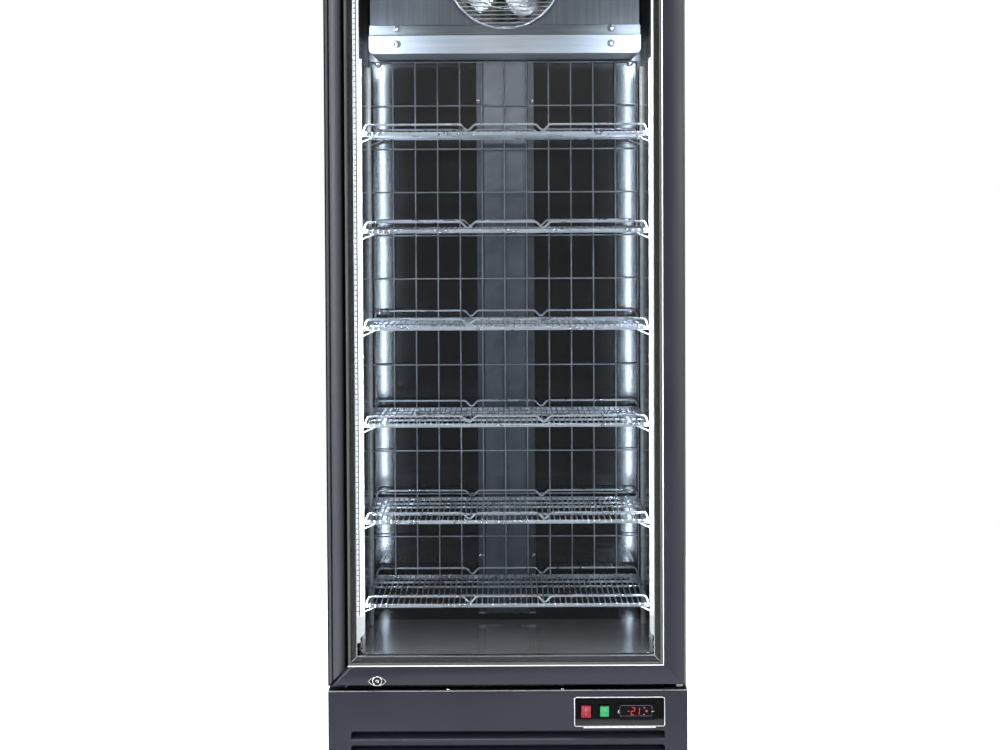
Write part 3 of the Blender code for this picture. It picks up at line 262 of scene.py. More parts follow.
SPACER = surface("spacer", (0.050, 0.052, 0.052), 0.42, 0.3, fine=1100, broad=300, tint=0.5, relief=0.0002)


# Shapes ------------------------------------------------------


class Shape:
    """The points and faces of one piece, gathered before it becomes a mesh."""

    def __init__(self):
        self.points = []
        self.faces = []
        self.finishes = []

    def add(self, points, faces, finish=0):
        first = len(self.points)
        self.points.extend(tuple(point) for point in points)
        self.faces.extend([first + corner for corner in face] for face in faces)
        self.finishes.extend([finish] * len(faces))

    def loft(self, rings, closed=False, caps=True, finish=0):
        """Joins rings of equal length. A closed loft joins the last ring to the first."""
        count = len(rings[0])
        points = [point for one in rings for point in one]
        faces = []
        last = len(rings) if closed else len(rings) - 1
        for index in range(last):
            near = index * count
            far = (index + 1) % len(rings) * count
            for corner in range(count):
                after = (corner + 1) % count
                faces.append([near + corner, near + after, far + after, far + corner])
        if caps and not closed:
            faces.append(list(range(count))[::-1])
            faces.append([(len(rings) - 1) * count + corner for corner in range(count)])
        self.add(points, faces, finish)

    def tube(self, path, radius, sides=8, closed=False, finish=0):
        """A round wire along a path."""
        path = [Vector(point) for point in path]
        count = len(path)
        tangents = []
        for index in range(count):
            before = path[index - 1] if index or closed else path[0]
            after = path[(index + 1) % count] if index < count - 1 or closed else path[-1]
            tangents.append((after - before).normalized())
        side = tangents[0].orthogonal().normalized()
        if closed:
            flat = Vector((0, 1, 0))
            side = tangents[0].cross(flat).normalized() if abs(tangents[0].dot(flat)) < 0.9 else side
        rings = []
        for point, tangent in zip(path, tangents):
            side = (side - tangent * side.dot(tangent)).normalized()
            other = tangent.cross(side)
            turns = [2 * math.pi * step / sides for step in range(sides)]
            rings.append([point + radius * (math.cos(turn) * side + math.sin(turn) * other) for turn in turns])
        self.loft(rings, closed=closed, finish=finish)

    def prism(self, outline, axis, start, end, finish=0):
        """An outline drawn across the other two axes, extruded along an axis, which is 0, 1 or 2."""
        rings = []
        for level in (start, end):
            spots = []
            for across, along in outline:
                spot = [across, along]
                spot.insert(axis, level)
                spots.append(tuple(spot))
            rings.append(spots)
        self.loft(rings, finish=finish)

    def block(self, low, high, chamfer=0.0, finish=0):
        """A box between two corners, with chamfered edges."""
        middle = [(a + b) / 2 for a, b in zip(low, high)]
        half = [(b - a) / 2 for a, b in zip(low, high)]
        chamfer = max(0.0, min(chamfer, min(half) * 0.9))
        if not chamfer:
            outline = [(low[0], low[1]), (high[0], low[1]), (high[0], high[1]), (low[0], high[1])]
            self.prism(outline, 2, low[2], high[2], finish)
            return
        corners = {}
        points = []
        for signs in ((x, y, z) for x in (-1, 1) for y in (-1, 1) for z in (-1, 1)):
            for axis in range(3):
                spot = [middle[i] + signs[i] * (half[i] - (0 if i == axis else chamfer)) for i in range(3)]
                corners[signs, axis] = len(points)
                points.append(spot)
        faces = []
        for axis in range(3):
            others = [i for i in range(3) if i != axis]
            for sign in (-1, 1):
                face = []
                for first, second in ((-1, -1), (1, -1), (1, 1), (-1, 1)):
                    signs = [0, 0, 0]
                    signs[axis], signs[others[0]], signs[others[1]] = sign, first, second
                    face.append(corners[tuple(signs), axis])
                faces.append(face)
            for first in (-1, 1):
                for second in (-1, 1):
                    low_end, high_end = [0, 0, 0], [0, 0, 0]
                    for end, value in ((low_end, -1), (high_end, 1)):
                        end[axis], end[others[0]], end[others[1]] = value, first, second
                    a, b = tuple(low_end), tuple(high_end)
                    faces.append([corners[a, others[0]], corners[b, others[0]],
                                  corners[b, others[1]], corners[a, others[1]]])
        for signs in sorted({key[0] for key in corners}):
            faces.append([corners[signs, 0], corners[signs, 1], corners[signs, 2]])
        self.add(points, faces, finish)

    def turned(self, profile, centre, axis=2, steps=24, finish=0):
        """A profile of (radius, level) points turned around an axis through centre; radius 0 closes it."""
        centre = Vector(centre)
        along = Vector([float(i == axis) for i in range(3)])
        side = Vector([float(i == (axis + 1) % 3) for i in range(3)])
        other = along.cross(side)
        rings = []
        for radius, level in profile:
            radius = max(radius, 0.00001)
            turns = [2 * math.pi * step / steps for step in range(steps)]
            rings.append([centre + along * level + radius * (math.cos(t) * side + math.sin(t) * other)
                          for t in turns])
        self.loft(rings, finish=finish)

    def screw_head(self, centre, radius=0.004, axis=1, sign=-1, finish=0):
        """A pan head with a round recess, standing off a face at centre."""
        high = radius * 0.5
        shares = ((1.0, 0.0), (1.0, 0.45), (0.85, 0.85), (0.55, 1.0), (0.30, 1.0), (0.22, 0.45), (0.0, 0.35))
        profile = [(radius * across, sign * high * up) for across, up in shares]
        self.turned([(radius, -sign * 0.0004)] + profile, centre, axis, 20, finish)

    def build(self, name, body, materials, replaced=(), bevel=0.0, angle=35, segments=2, weld=True):
        """Makes the piece, and puts it on its CAD body."""
        mesh = bpy.data.meshes.new(name)
        mesh.from_pydata(self.points, [], self.faces)
        materials = materials if isinstance(materials, (list, tuple)) else [materials]
        for material in materials:
            mesh.materials.append(material)
        mesh.polygons.foreach_set("material_index", self.finishes)
        shape = bmesh.new()
        shape.from_mesh(mesh)
        if weld:
            bmesh.ops.remove_doubles(shape, verts=shape.verts, dist=0.00002)
        bmesh.ops.recalc_face_normals(shape, faces=shape.faces)
        shape.to_mesh(mesh)
        shape.free()
        return place_piece(name, mesh, body, replaced, bevel, angle, segments)


def place_piece(name, mesh, body, replaced, bevel, angle, segments=2):
    mesh.shade_smooth()
    mesh.set_sharp_from_angle(angle=math.radians(angle))
    piece = bpy.data.objects.new(name, mesh)
    bpy.context.scene.collection.objects.link(piece)
    if bevel:
        round_edges(piece, bevel, angle, segments)
    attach(piece, body)
    if replaced:
        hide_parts(*([replaced] if isinstance(replaced, str) else replaced))
    return piece


def round_edges(piece, width, angle=35, segments=2):
    bevel = piece.modifiers.new("Rounded edges", "BEVEL")
    bevel.width = width
    bevel.segments = segments
    bevel.limit_method = "ANGLE"
    bevel.angle_limit = math.radians(angle)
    bevel.harden_normals = True
    bevel.use_clamp_overlap = True


def refine(node_name, body, material, bevel=0.0008, segments=2, angle=35, name=None):
    """A CAD node's own shape with clean faces, rounded edges and a detailed material."""
    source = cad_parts[node_name]
    mesh = source.data.copy()
    mesh.name = name or node_name + "_skin"
    mesh.transform(source.matrix_world)
    shape = bmesh.new()
    shape.from_mesh(mesh)
    bmesh.ops.remove_doubles(shape, verts=shape.verts, dist=0.00001)
    bmesh.ops.dissolve_limit(shape, angle_limit=math.radians(1), verts=shape.verts, edges=shape.edges)
    bmesh.ops.recalc_face_normals(shape, faces=shape.faces)
    shape.to_mesh(mesh)
    shape.free()
    mesh.materials.clear()
    mesh.materials.append(material)
    for polygon in mesh.polygons:
        polygon.material_index = 0
    if "custom_normal" in mesh.attributes:
        mesh.attributes.remove(mesh.attributes["custom_normal"])
    return place_piece(mesh.name, mesh, body, node_name, bevel, angle, segments)


def rounded_rectangle(left, bottom, right, top, radius, steps=5):
    """Outline points, anticlockwise from the lower right corner."""
    points = []
    for across, along, start in ((right - radius, bottom + radius, -90), (right - radius, top - radius, 0),
                                 (left + radius, top - radius, 90), (left + radius, bottom + radius, 180)):
        for step in range(steps + 1):
            turn = math.radians(start + 90 * step / steps)
            points.append((across + radius * math.cos(turn), along + radius * math.sin(turn)))
    return points


def smooth_path(points, radius, steps=4, closed=False):
    """The path with each corner rounded."""
    points = [Vector(point) for point in points]
    count = len(points)
    made = []
    for index, corner in enumerate(points):
        if not closed and index in (0, count - 1):
            made.append(corner)
            continue
        before, after = points[index - 1], points[(index + 1) % count]
        to_before, to_after = before - corner, after - corner
        reach = min(radius, to_before.length * 0.45, to_after.length * 0.45)
        start = corner + to_before.normalized() * reach
        end = corner + to_after.normalized() * reach
        for step in range(steps + 1):
            share = step / steps
            made.append(start.lerp(corner, share).lerp(corner.lerp(end, share), share))
    return made


# Places, from the CAD ----------------------------------------


def edges_of(*names):
    """(low, high) corners of one or more CAD nodes together."""
    lows, highs = zip(*(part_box(name) for name in names))
    return Vector(map(min, *lows, lows[0])), Vector(map(max, *highs, highs[0]))


DOOR_LOW, DOOR_HIGH = edges_of("bottom_rail", "top_rail", "hinge_stile", "handle_stile", "door_grip")
LINER_LOW, LINER_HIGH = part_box("inner_liner")
WALL = 0.002                                     # the liner's thickness
INNER_HALF = LINER_HIGH.x - WALL
INNER_FLOOR = LINER_LOW.z + WALL
INNER_CEILING = LINER_HIGH.z - WALL
INNER_BACK = LINER_HIGH.y - WALL
MOUTH_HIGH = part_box("front_frame")[1]


def centre_of(name):
    low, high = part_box(name)
    return (low + high) / 2


def rectangle_ring(shape, left, bottom, right, top, section):
    """A section of (inward, y) points all round a rectangle that faces the front."""
    rings = []
    for x, z, inward_x, inward_z in ((left, bottom, 1, 1), (right, bottom, -1, 1), (right, top, -1, -1),
                                     (left, top, 1, -1)):
        rings.append([(x + inward_x * inward, y, z + inward_z * inward) for inward, y in section])
    shape.loft(rings, closed=True)


# Cabinet -----------------------------------------------------


# Nodes that keep their CAD shape: material, slot and the rounding of their edges.
PLAIN_PIECES = {
    "side_panel_left": (PAINT, "black_steel", 0.0009),
    "side_panel_right": (PAINT, "black_steel", 0.0009),
    "top_panel": (PAINT, "black_steel", 0.0009),
    "base_pan": (GALVANISED, "galvanised_steel", 0.0012),
    "back_panel": (GALVANISED, "galvanised_steel", 0.0006),
    "rear_grille": (GALVANISED, "galvanised_steel", 0.0006),
    "foam_insulation": (FOAM, "foam", 0.0),
    "front_frame": (MOUTH_PLASTIC, "dark_plastic", 0.0012),
    "condenser_coil": (FINS, "heat_exchanger", 0.0003),
    "condenser_fan_motor": (BLACK_PLASTIC, "dark_plastic", 0.0012),
    "compressor": (COMPRESSOR_PAINT, "compressor_paint", 0.0015),
    "condensate_pan": (ALUMINIUM, "aluminium", 0.0006),
    "power_inlet": (BLACK_PLASTIC, "dark_plastic", 0.0006),
    # The hinge brackets are galvanised but drawn black: painted shade of the dark gaps at the door's ends.
    "lower_hinge_bracket": (EDGE_BLACK, "galvanised_steel", 0.0005),
    "upper_hinge_bracket": (EDGE_BLACK, "galvanised_steel", 0.0005),
    "evaporator_cover": (COVER_STEEL, "galvanised_steel", 0.0008),
    "drip_tray": (STAINLESS, "stainless_steel", 0.0005),
    "evaporator_coil": (FINS, "heat_exchanger", 0.0003),
    "evaporator_fan_motor": (BLACK_PLASTIC, "dark_plastic", 0.0012),
    "canopy_housing": (PAINT, "black_steel", 0.0009),
    "sign_panel": (SIGN_LIGHT, "light_diffuser", 0.0008),
    "canopy_lamp": (LAMP, "light_diffuser", 0.0008),
}


def plain(*names):
    for name in names:
        material, slot, rounding = PLAIN_PIECES[name]
        refine(name, "cabinet", material, bevel=rounding)


def make_shell():
    plain("side_panel_left", "side_panel_right", "top_panel", "base_pan", "back_panel", "rear_grille",
          "foam_insulation")
    make_liner()
    plain("front_frame")
    make_back_screws()


def make_liner():
    liner = refine("inner_liner", "cabinet", LINER, bevel=0.0009, segments=3)
    liner.data.materials.append(WALL_LINER)
    for polygon in liner.data.polygons:
        if abs(polygon.normal.x) > 0.9:
            polygon.material_index = 1


def make_back_screws():
    screws = Shape()
    size = 0.004
    low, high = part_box("back_panel")
    rows = 7
    from_end = 0.04
    from_edge = 0.015
    for index in range(rows):
        height = low.z + from_end + index * (high.z - low.z - 2 * from_end) / (rows - 1)
        for across in (low.x + from_edge, high.x - from_edge):
            screws.screw_head((across, high.y, height), size, 1, 1)
    for across in (-0.2, 0.0, 0.2):
        for height in (high.z - from_edge, low.z + from_edge):
            screws.screw_head((across, high.y, height), size, 1, 1)
    low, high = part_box("rear_grille")
    for across in (low.x + 0.03, high.x - 0.03):
        for height in (low.z + 0.02, high.z - 0.02):
            screws.screw_head((across, high.y, height), size, 1, 1)
    screws.build("back_screws", "cabinet", SCREW_STEEL)


def make_floor_sheet():
    """The smooth sheet on the cabinet's floor."""
    sheet = Shape()
    sheet.block((-INNER_HALF + 0.0004, LINER_LOW.y + 0.004, INNER_FLOOR + 0.0001),
                (INNER_HALF - 0.0004, INNER_BACK - 0.0004, INNER_FLOOR + 0.0007), 0.0002)
    sheet.build("floor_sheet", "cabinet", FLOOR_LINER)


def make_breaker_strip():
    """The black strip that closes the foam's front, between the mouth and the liner."""
    strip = Shape()
    back = MOUTH_HIGH.y - 0.0004
    rings = []
    for outward, y in ((0.0, back), (0.0, back - 0.0010), (0.0102, back - 0.0010), (0.0102, back)):
        left, bottom, right, top = (-INNER_HALF - outward, INNER_FLOOR - min(outward, 0.0058),
                                    INNER_HALF + outward, INNER_CEILING - 0.001 + outward * 0.2)
        rings.append([(left, y, bottom), (right, y, bottom), (right, y, top), (left, y, top)])
    strip.loft(rings, closed=True)
    strip.build("breaker_strip", "cabinet", EDGE_BLACK, angle=30)


def make_mouth_trim():
    """The soft edging round the liner's front edge."""
    trim = Shape()
    front = MOUTH_HIGH.y - 0.0002
    depth, width, overlap = 0.0016, 0.0038, 0.003
    section = [(0.0, front), (0.0, front - depth * 0.7), (width * 0.3, front - depth),
               (width * 0.8, front - depth * 0.8), (width, front)]
    rectangle_ring(trim, -INNER_HALF - overlap, INNER_FLOOR - overlap, INNER_HALF + overlap,
                   INNER_CEILING - 0.0005, section)
    trim.build("mouth_trim", "cabinet", MOUTH_PLASTIC, angle=50)


def make_feet():
    pad_top, nut_top, thread_start, pitch = 0.0155, 0.0215, 0.020, 0.0022
    for row in ("front", "rear"):
        for side in ("left", "right"):
            name = f"foot_{row}_{side}"
            low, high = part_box(name)
            centre = centre_of(name) * Vector((1, 1, 0))
            radius = (high.x - low.x) / 2
            foot = Shape()
            foot.turned([(0, 0.0), (radius - 0.002, 0.0), (radius, 0.002), (radius, 0.009),
                         (radius - 0.002, 0.0115), (0.012, 0.015), (0, pad_top)], centre, 2, 40, 0)
            bolt = [(0, pad_top - 0.001)]
            level = thread_start
            while level < high.z - 0.010:
                bolt += [(0.0090, level), (0.0098, level + pitch / 2)]
                level += pitch
            bolt += [(0.0090, level), (0.0090, high.z), (0, high.z)]
            foot.turned(bolt, centre, 2, 60, 1)
            hexagon = [(centre.x + 0.0165 * math.cos(math.radians(60 * k)),
                        centre.y + 0.0165 * math.sin(math.radians(60 * k))) for k in range(6)]
            foot.prism(hexagon, 2, pad_top - 0.0005, nut_top, 1)
            foot.build(name + "_detail", "cabinet", [RUBBER, GALVANISED], name, bevel=0.0004)


# Base --------------------------------------------------------


LOUVRE_TOPS = [0.222 - 0.0267 * index for index in range(5)]
LOUVRE_HEIGHT = 0.0188
LOUVRE_HALF = 0.301


def make_front_grille():
    refine("front_grille", "cabinet", PAINT, bevel=0.0007, segments=3, angle=30)
    low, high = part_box("front_grille")
    make_louvre_blades(low.y)
    make_base_top(low, high)


def make_louvre_blades(face):
    """Sloped blades behind the louvres' openings, with a baffle at the top and a cheek at each end."""
    blades = Shape()
    thick = 0.0012
    half = LOUVRE_HALF - 0.0003
    for top in LOUVRE_TOPS:
        bottom = top - LOUVRE_HEIGHT
        lower = [(0.0010, -0.0030), (-0.0006, -0.0022), (-0.0012, -0.0006), (-0.0006, 0.0012),
                 (0.0010, 0.0028), (0.0050, 0.0055)]
        upper = [(0.0200, -0.0052), (0.0215, 0.0030), (0.0228, 0.0030), (0.0214, -0.0060)]
        section = [(face + y, bottom + z) for y, z in lower] + [(face + y, top + z) for y, z in upper]
        section += [(face + 0.0062, bottom + 0.0044), (face + 0.0022, bottom + 0.0012)]
        blades.prism(section, 0, -half, half)
        for side in (-1, 1):
            cheek = side * (LOUVRE_HALF + 0.0002)
            inner = cheek + side * thick
            blades.block((min(cheek, inner), face + 0.0022, bottom - 0.001),
                         (max(cheek, inner), face + 0.0300, top + 0.003), 0.0003)
    blades.build("louvre_blades", "cabinet", PAINT, angle=30)


def make_base_top(low, high):
    """The base's upper edge in a lighter, glossier metal, a painted highlight, and a thin black pad behind it,
    painted shade of the gap under the door, open where the lock's cam turns down.
    """
    # The rounded top edge in the lighter metal: a painted highlight.
    edge = Shape()
    radius, cover = 0.0035, 0.0002
    middle_y, middle_z = low.y + radius, high.z - radius
    turns = [math.radians(26 + 62 * step / 8) for step in range(9)]
    outer, inside = ([(middle_y - reach * math.cos(turn), middle_z + reach * math.sin(turn)) for turn in turns]
                     for reach in (radius + cover, radius - cover))
    edge.prism(outer + inside[::-1], 0, low.x + 0.0003, high.x - 0.0003)
    edge.build("base_top_edge", "cabinet", HIGHLIGHT_EDGE, angle=50)
    # A thin black sheet on the flange's top, seen in the gap under the door: painted shade.
    shade_sheet = Shape()
    left, right, front, back = low.x + 0.0002, high.x - 0.0002, low.y + 0.0042, high.y - 0.0005
    slot_left, slot_right, slot_front, slot_back = -0.2590, -0.2296, -0.3406, -0.3326
    for x0, x1, y0, y1 in ((left, slot_left, front, back), (slot_right, right, front, back),
                           (slot_left, slot_right, front, slot_front),
                           (slot_left, slot_right, slot_back, back)):
        if y1 - y0 > 2 * cover:
            shade_sheet.block((x0, y0, high.z - 0.0001), (x1, y1, high.z + 0.0002))
    shade_sheet.build("base_top_shade_sheet", "cabinet", EDGE_BLACK)
    screws = Shape()
    head = [(0.0036, 0.0), (0.0036, 0.0010), (0.0030, 0.0020), (0.0016, 0.0025), (0, 0.0026)]
    for across in (-0.114, 0.105):
        screws.turned(head, (across, -0.346, high.z), 2, 24)
    screws.build("base_flange_screws", "cabinet", SCREW_STEEL)


def seven_segments(shape, digit, left, bottom, width, height, lean, front, back, thick):
    """Slanted bars of one figure."""
    lit = {"-": "g", "2": "abged", "1": "bc"}[digit]
    half = height / 2
    bars = {
        "a": ((0, height), (width, height)), "g": ((0, half), (width, half)), "d": ((0, 0), (width, 0)),
        "f": ((0, half), (0, height)), "b": ((width, half), (width, height)),
        "e": ((0, 0), (0, half)), "c": ((width, 0), (width, half)),
    }
    for name in lit:
        (x1, z1), (x2, z2) = bars[name]
        start = Vector((left + x1 + lean * z1, bottom + z1))
        end = Vector((left + x2 + lean * z2, bottom + z2))
        along = (end - start).normalized()
        start += along * thick * 0.6
        end -= along * thick * 0.6
        across = Vector((-along.y, along.x)) * thick / 2
        tip = along * thick / 2
        outline = [start - tip, start + across, end + across, end + tip, end - across, start - across]
        shape.prism([tuple(point) for point in outline], 1, front, back)


PANEL_FLOOR = -0.350                             # how far back the panel's black plate lies
BEZEL_RIM = 0.003
SWITCH_HEIGHT = 0.258                            # the middle of the switches


def make_control_panel():
    make_bezel()
    make_panel_plate()
    make_rockers()
    make_controller()


def make_bezel():
    low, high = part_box("control_bezel")
    front = low.y
    bezel = Shape()
    rings = []
    for inset, y in ((0.0, high.y), (0.0, front + 0.0024), (0.0004, front + 0.0013), (0.0010, front + 0.0008),
                     (BEZEL_RIM - 0.0014, front + 0.0008), (BEZEL_RIM - 0.0010, front + 0.0012),
                     (BEZEL_RIM - 0.0008, front + 0.0024), (BEZEL_RIM - 0.0008, high.y)):
        outline = rounded_rectangle(low.x + inset, low.z + inset, high.x - inset, high.z - inset,
                                    max(0.0008, 0.005 - inset), 6)
        rings.append([(across, y, height) for across, height in outline])
    bezel.loft(rings, closed=True)
    bezel.build("bezel_frame", "cabinet", BEZEL_CHROME, ["control_bezel"], angle=60)
    lip = Shape()
    section = [(0.0008, 0.0004), (0.0, -0.0006), (0.0006, -0.0022), (0.0040, -0.0024), (0.0046, -0.0008),
               (0.0046, 0.0004)]
    lip.prism([(front + y, low.z + z) for y, z in section], 0, low.x + 0.018, high.x - 0.018)
    lip.build("bezel_lower_lip", "cabinet", CHROME, bevel=0.0004)


def make_panel_plate():
    """The black plate behind the bezel, with openings for the switches, and a sloped strip below it."""
    low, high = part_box("control_bezel")
    inset = BEZEL_RIM - 0.0010
    left, right, bottom, top = low.x + inset, high.x - inset, low.z + inset, high.z - inset
    back = high.y - 0.0003
    strip_top = 0.2435
    play = 0.0009
    half = 0.0128 + play
    plate = Shape()
    columns = [left]
    for name in ("power_rocker", "light_rocker"):
        first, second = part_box(name)
        columns += [first.x - play, second.x + play]
    columns.append(right)
    for index, (start, end) in enumerate(zip(columns, columns[1:])):
        spans = [(strip_top - 0.002, top)]
        if index % 2:
            spans = [(strip_top - 0.002, SWITCH_HEIGHT - half), (SWITCH_HEIGHT + half, top)]
        for lower, upper in spans:
            plate.block((start, PANEL_FLOOR, lower), (end, back, upper))
    plate.build("panel_recess", "cabinet", EDGE_BLACK, angle=20)
    strip = Shape()
    strip.prism([(PANEL_FLOOR - 0.0003, strip_top), (PANEL_FLOOR - 0.0001, strip_top - 0.0006),
                 (low.y + 0.0012, bottom + 0.0004), (low.y + 0.0012, bottom), (back, bottom),
                 (back, strip_top)], 0, left, right)
    strip.build("panel_sloped_strip", "cabinet", STRIP_PAINT, bevel=0.0003)


def make_rockers():
    rockers = (("power_rocker", RED_ROCKER, "red_rocker", 0.0180, 0.0226),
               ("light_rocker", GREEN_ROCKER, "green_rocker", 0.0166, 0.0192))
    for name, material, slot, width, height in rockers:
        across = centre_of(name).x
        half = height / 2
        make_rocker_key(name, material, Vector((across, -0.3495, SWITCH_HEIGHT)), width, half)
        surround = Shape()
        rim = 0.0022
        rings = []
        for inset, y in ((0.0, 0.0004), (0.0, -0.0008), (0.0005, -0.0014), (rim - 0.0004, -0.0014),
                         (rim, -0.0008), (rim, 0.0004)):
            beside, above = width / 2 + rim + 0.0006 - inset, half + rim + 0.0010 - inset
            outline = rounded_rectangle(across - beside, SWITCH_HEIGHT - above, across + beside,
                                        SWITCH_HEIGHT + above, max(0.0006, 0.0018 - inset), 3)
            rings.append([(x, PANEL_FLOOR + y, z) for x, z in outline])
        surround.loft(rings, closed=True)
        surround.build(name + "_surround", "cabinet", EDGE_BLACK, angle=40)


def make_rocker_key(name, material, pivot, width, half):
    """A concave key, tilted to its resting place, with the O and I marks on its face."""
    middle = -0.0034                             # the face's deepest line, from the pivot
    rise = 0.0028                                # from there to the face's ends
    turn = Matrix.Rotation(math.radians(8), 3, "X")
    section = [(-0.0050, -half), (middle - rise, -half + 0.0012), (middle, -0.0006), (middle, 0.0006),
               (middle - rise, half - 0.0012), (-0.0050, half), (0.0036, half), (0.0036, -half)]
    key = Shape()
    key.loft([[pivot + turn @ Vector((x, y, z)) for y, z in section] for x in (-width / 2, width / 2)])
    key.build(name + "_key", name, material, name, bevel=0.0006, segments=3)
    slope = rise / (half - 0.0018)

    def on_face(x, z):
        """A point on the concave face, z from its middle."""
        return pivot + turn @ Vector((x, middle - abs(z) * slope - 0.00012, z))

    marks = Shape()
    turns = [2 * math.pi * k / 20 for k in range(20)]
    marks.tube([on_face(0.0019 * math.sin(t), half * 0.46 + 0.0024 * math.cos(t)) for t in turns], 0.00032, 6,
               closed=True)
    marks.tube([on_face(0, -half * 0.30), on_face(0, -half * 0.66)], 0.00038, 6)
    marks.build(name + "_marks", name, PRINT_WHITE)


def make_controller():
    low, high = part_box("controller")
    refine("controller", "cabinet", EDGE_BLACK, bevel=0.0006, segments=3)
    face = low.y

    def window_ring(inset, y):
        outline = rounded_rectangle(low.x + 0.006 + inset, low.z + 0.0050 + inset, high.x - 0.006 - inset,
                                    high.z - 0.0035 - inset, 0.004 - inset, 5)
        return [(x, face + y, z) for x, z in outline]

    window = Shape()
    window.loft([window_ring(0.0, 0.0001), window_ring(0.0004, -0.0005)])
    window.build("controller_window", "cabinet", EDGE_BLACK, angle=30)
    edge = Shape()
    edge.tube(window_ring(0.0004, -0.0006), 0.00020, 6, closed=True)
    edge.build("controller_window_edge", "cabinet", ALUMINIUM)
    figures = Shape()
    bottom, height = 0.2516, 0.0136
    for digit, left, wide in (("-", 0.2282, 0.0044), ("2", 0.2356, 0.0062), ("1", 0.2448, 0.0062)):
        seven_segments(figures, digit, left, bottom, wide, height, 0.12, face - 0.0009, face - 0.0004, 0.0011)
    figures.turned([(0, 0.0004), (0.0021, 0.0003), (0.0021, -0.0002), (0, -0.0003)],
                   (0.2656, face - 0.0006, 0.2586), 1, 16)
    figures.build("display_figures", "cabinet", DISPLAY_RED)
    marks = Shape()
    for x, z, wide, tall in ((0.2118, 0.2574, 0.0016, 0.0060), (0.2617, 0.2650, 0.0022, 0.0012),
                             (0.2776, 0.2578, 0.0048, 0.0012), (0.2608, 0.2518, 0.0018, 0.0018),
                             (0.2127, 0.2551, 0.0018, 0.0010), (0.2127, 0.2597, 0.0018, 0.0010)):
        marks.block((x - wide / 2, face - 0.0008, z - tall / 2), (x + wide / 2, face - 0.0003, z + tall / 2),
                    0.0002)
    marks.build("controller_marks", "cabinet", PRINT_WHITE)


def make_machine_space():
    plain("condenser_coil", "condenser_fan_motor", "compressor", "condensate_pan", "power_inlet")
    low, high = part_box("power_inlet")
    middle = centre_of("power_inlet")
    pins = Shape()
    for across, height in ((-0.0070, -0.0015), (0.0070, -0.0015), (0.0, 0.0025)):
        pins.block((middle.x + across - 0.001, low.y + 0.0012, middle.z + height - 0.002),
                   (middle.x + across + 0.001, high.y - 0.0008, middle.z + height + 0.002), 0.0003)
    pins.build("inlet_pins", "cabinet", SCREW_STEEL)
    coil_low, coil_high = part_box("condenser_coil")
    behind = coil_high.y + 0.004
    pipes = Shape()
    hot = [(coil_high.x - 0.01, behind, 0.240), (coil_high.x + 0.03, -0.20, 0.240), (0.17, -0.05, 0.20),
           (0.180, 0.100, 0.170), (0.180, 0.130, 0.150)]
    cool = [(coil_low.x + 0.02, behind, 0.100), (-0.20, -0.15, 0.090), (-0.10, -0.03, 0.085),
            (0.05, 0.04, 0.100), (0.110, 0.150, 0.120)]
    for route, radius in ((hot, 0.004), (cool, 0.003)):
        pipes.tube(smooth_path(route, 0.03, 6), radius, 10)
    pipes.build("refrigerant_pipes", "cabinet", COPPER)


# Door --------------------------------------------------------


RIGHT_EXTRA = 0.0035                            # the hinge side's face is wider by this much
INNER_PART = 0.03                               # distances further in than this get the extra


def door_rectangle(inward):
    """The rectangle at a distance inside the door's outline: left, bottom, right, top."""
    extra = RIGHT_EXTRA if inward > INNER_PART else 0.0
    return (DOOR_LOW.x + inward, DOOR_LOW.z + inward, DOOR_HIGH.x - inward - extra, DOOR_HIGH.z - inward)


def mitred(shape, section, side, gap=0.00012, finish=0):
    """A section of (inward, y) points along one side of the door, with mitred ends."""
    start, end = [], []
    for inward, y in section:
        left, bottom, right, top = door_rectangle(inward)
        ends = {
            "bottom": ((left + gap, y, bottom), (right - gap, y, bottom)),
            "top": ((left + gap, y, top), (right - gap, y, top)),
            "left": ((left, y, bottom + gap), (left, y, top - gap)),
            "right": ((right, y, bottom + gap), (right, y, top - gap)),
        }[side]
        start.append(ends[0])
        end.append(ends[1])
    shape.loft([start, end], finish=finish)


def door_ring(shape, section, finish=0):
    """A section of (inward, y) points all round the door."""
    rings = []
    for corner in ((0, 1), (2, 1), (2, 3), (0, 3)):
        ring = []
        for inward, y in section:
            rectangle = door_rectangle(inward)
            ring.append((rectangle[corner[0]], y, rectangle[corner[1]]))
        rings.append(ring)
    shape.loft(rings, closed=True, finish=finish)


def dipped_rail(shape, section, side, front):
    """A rail whose face curves back at its left end, into the groove beside the grip."""
    gap = 0.00012
    deepest = -0.3480
    rings = []
    for along, depth in ((0.0, 0.0110), (0.0015, 0.0078), (0.0032, 0.0050), (0.0052, 0.0028), (0.0076, 0.0012),
                         (0.0104, 0.0003), (0.0130, 0.0)):
        ring = []
        for inward, y in section:
            left, bottom, _, top = door_rectangle(inward)
            dipped = max(y, min(front + depth, deepest)) if y < deepest else y
            ring.append((left + gap + along, dipped, bottom if side == "bottom" else top))
        rings.append(ring)
    ring = []
    for inward, y in section:
        _, bottom, right, top = door_rectangle(inward)
        ring.append((right - gap, y, bottom if side == "bottom" else top))
    shape.loft(rings + [ring])


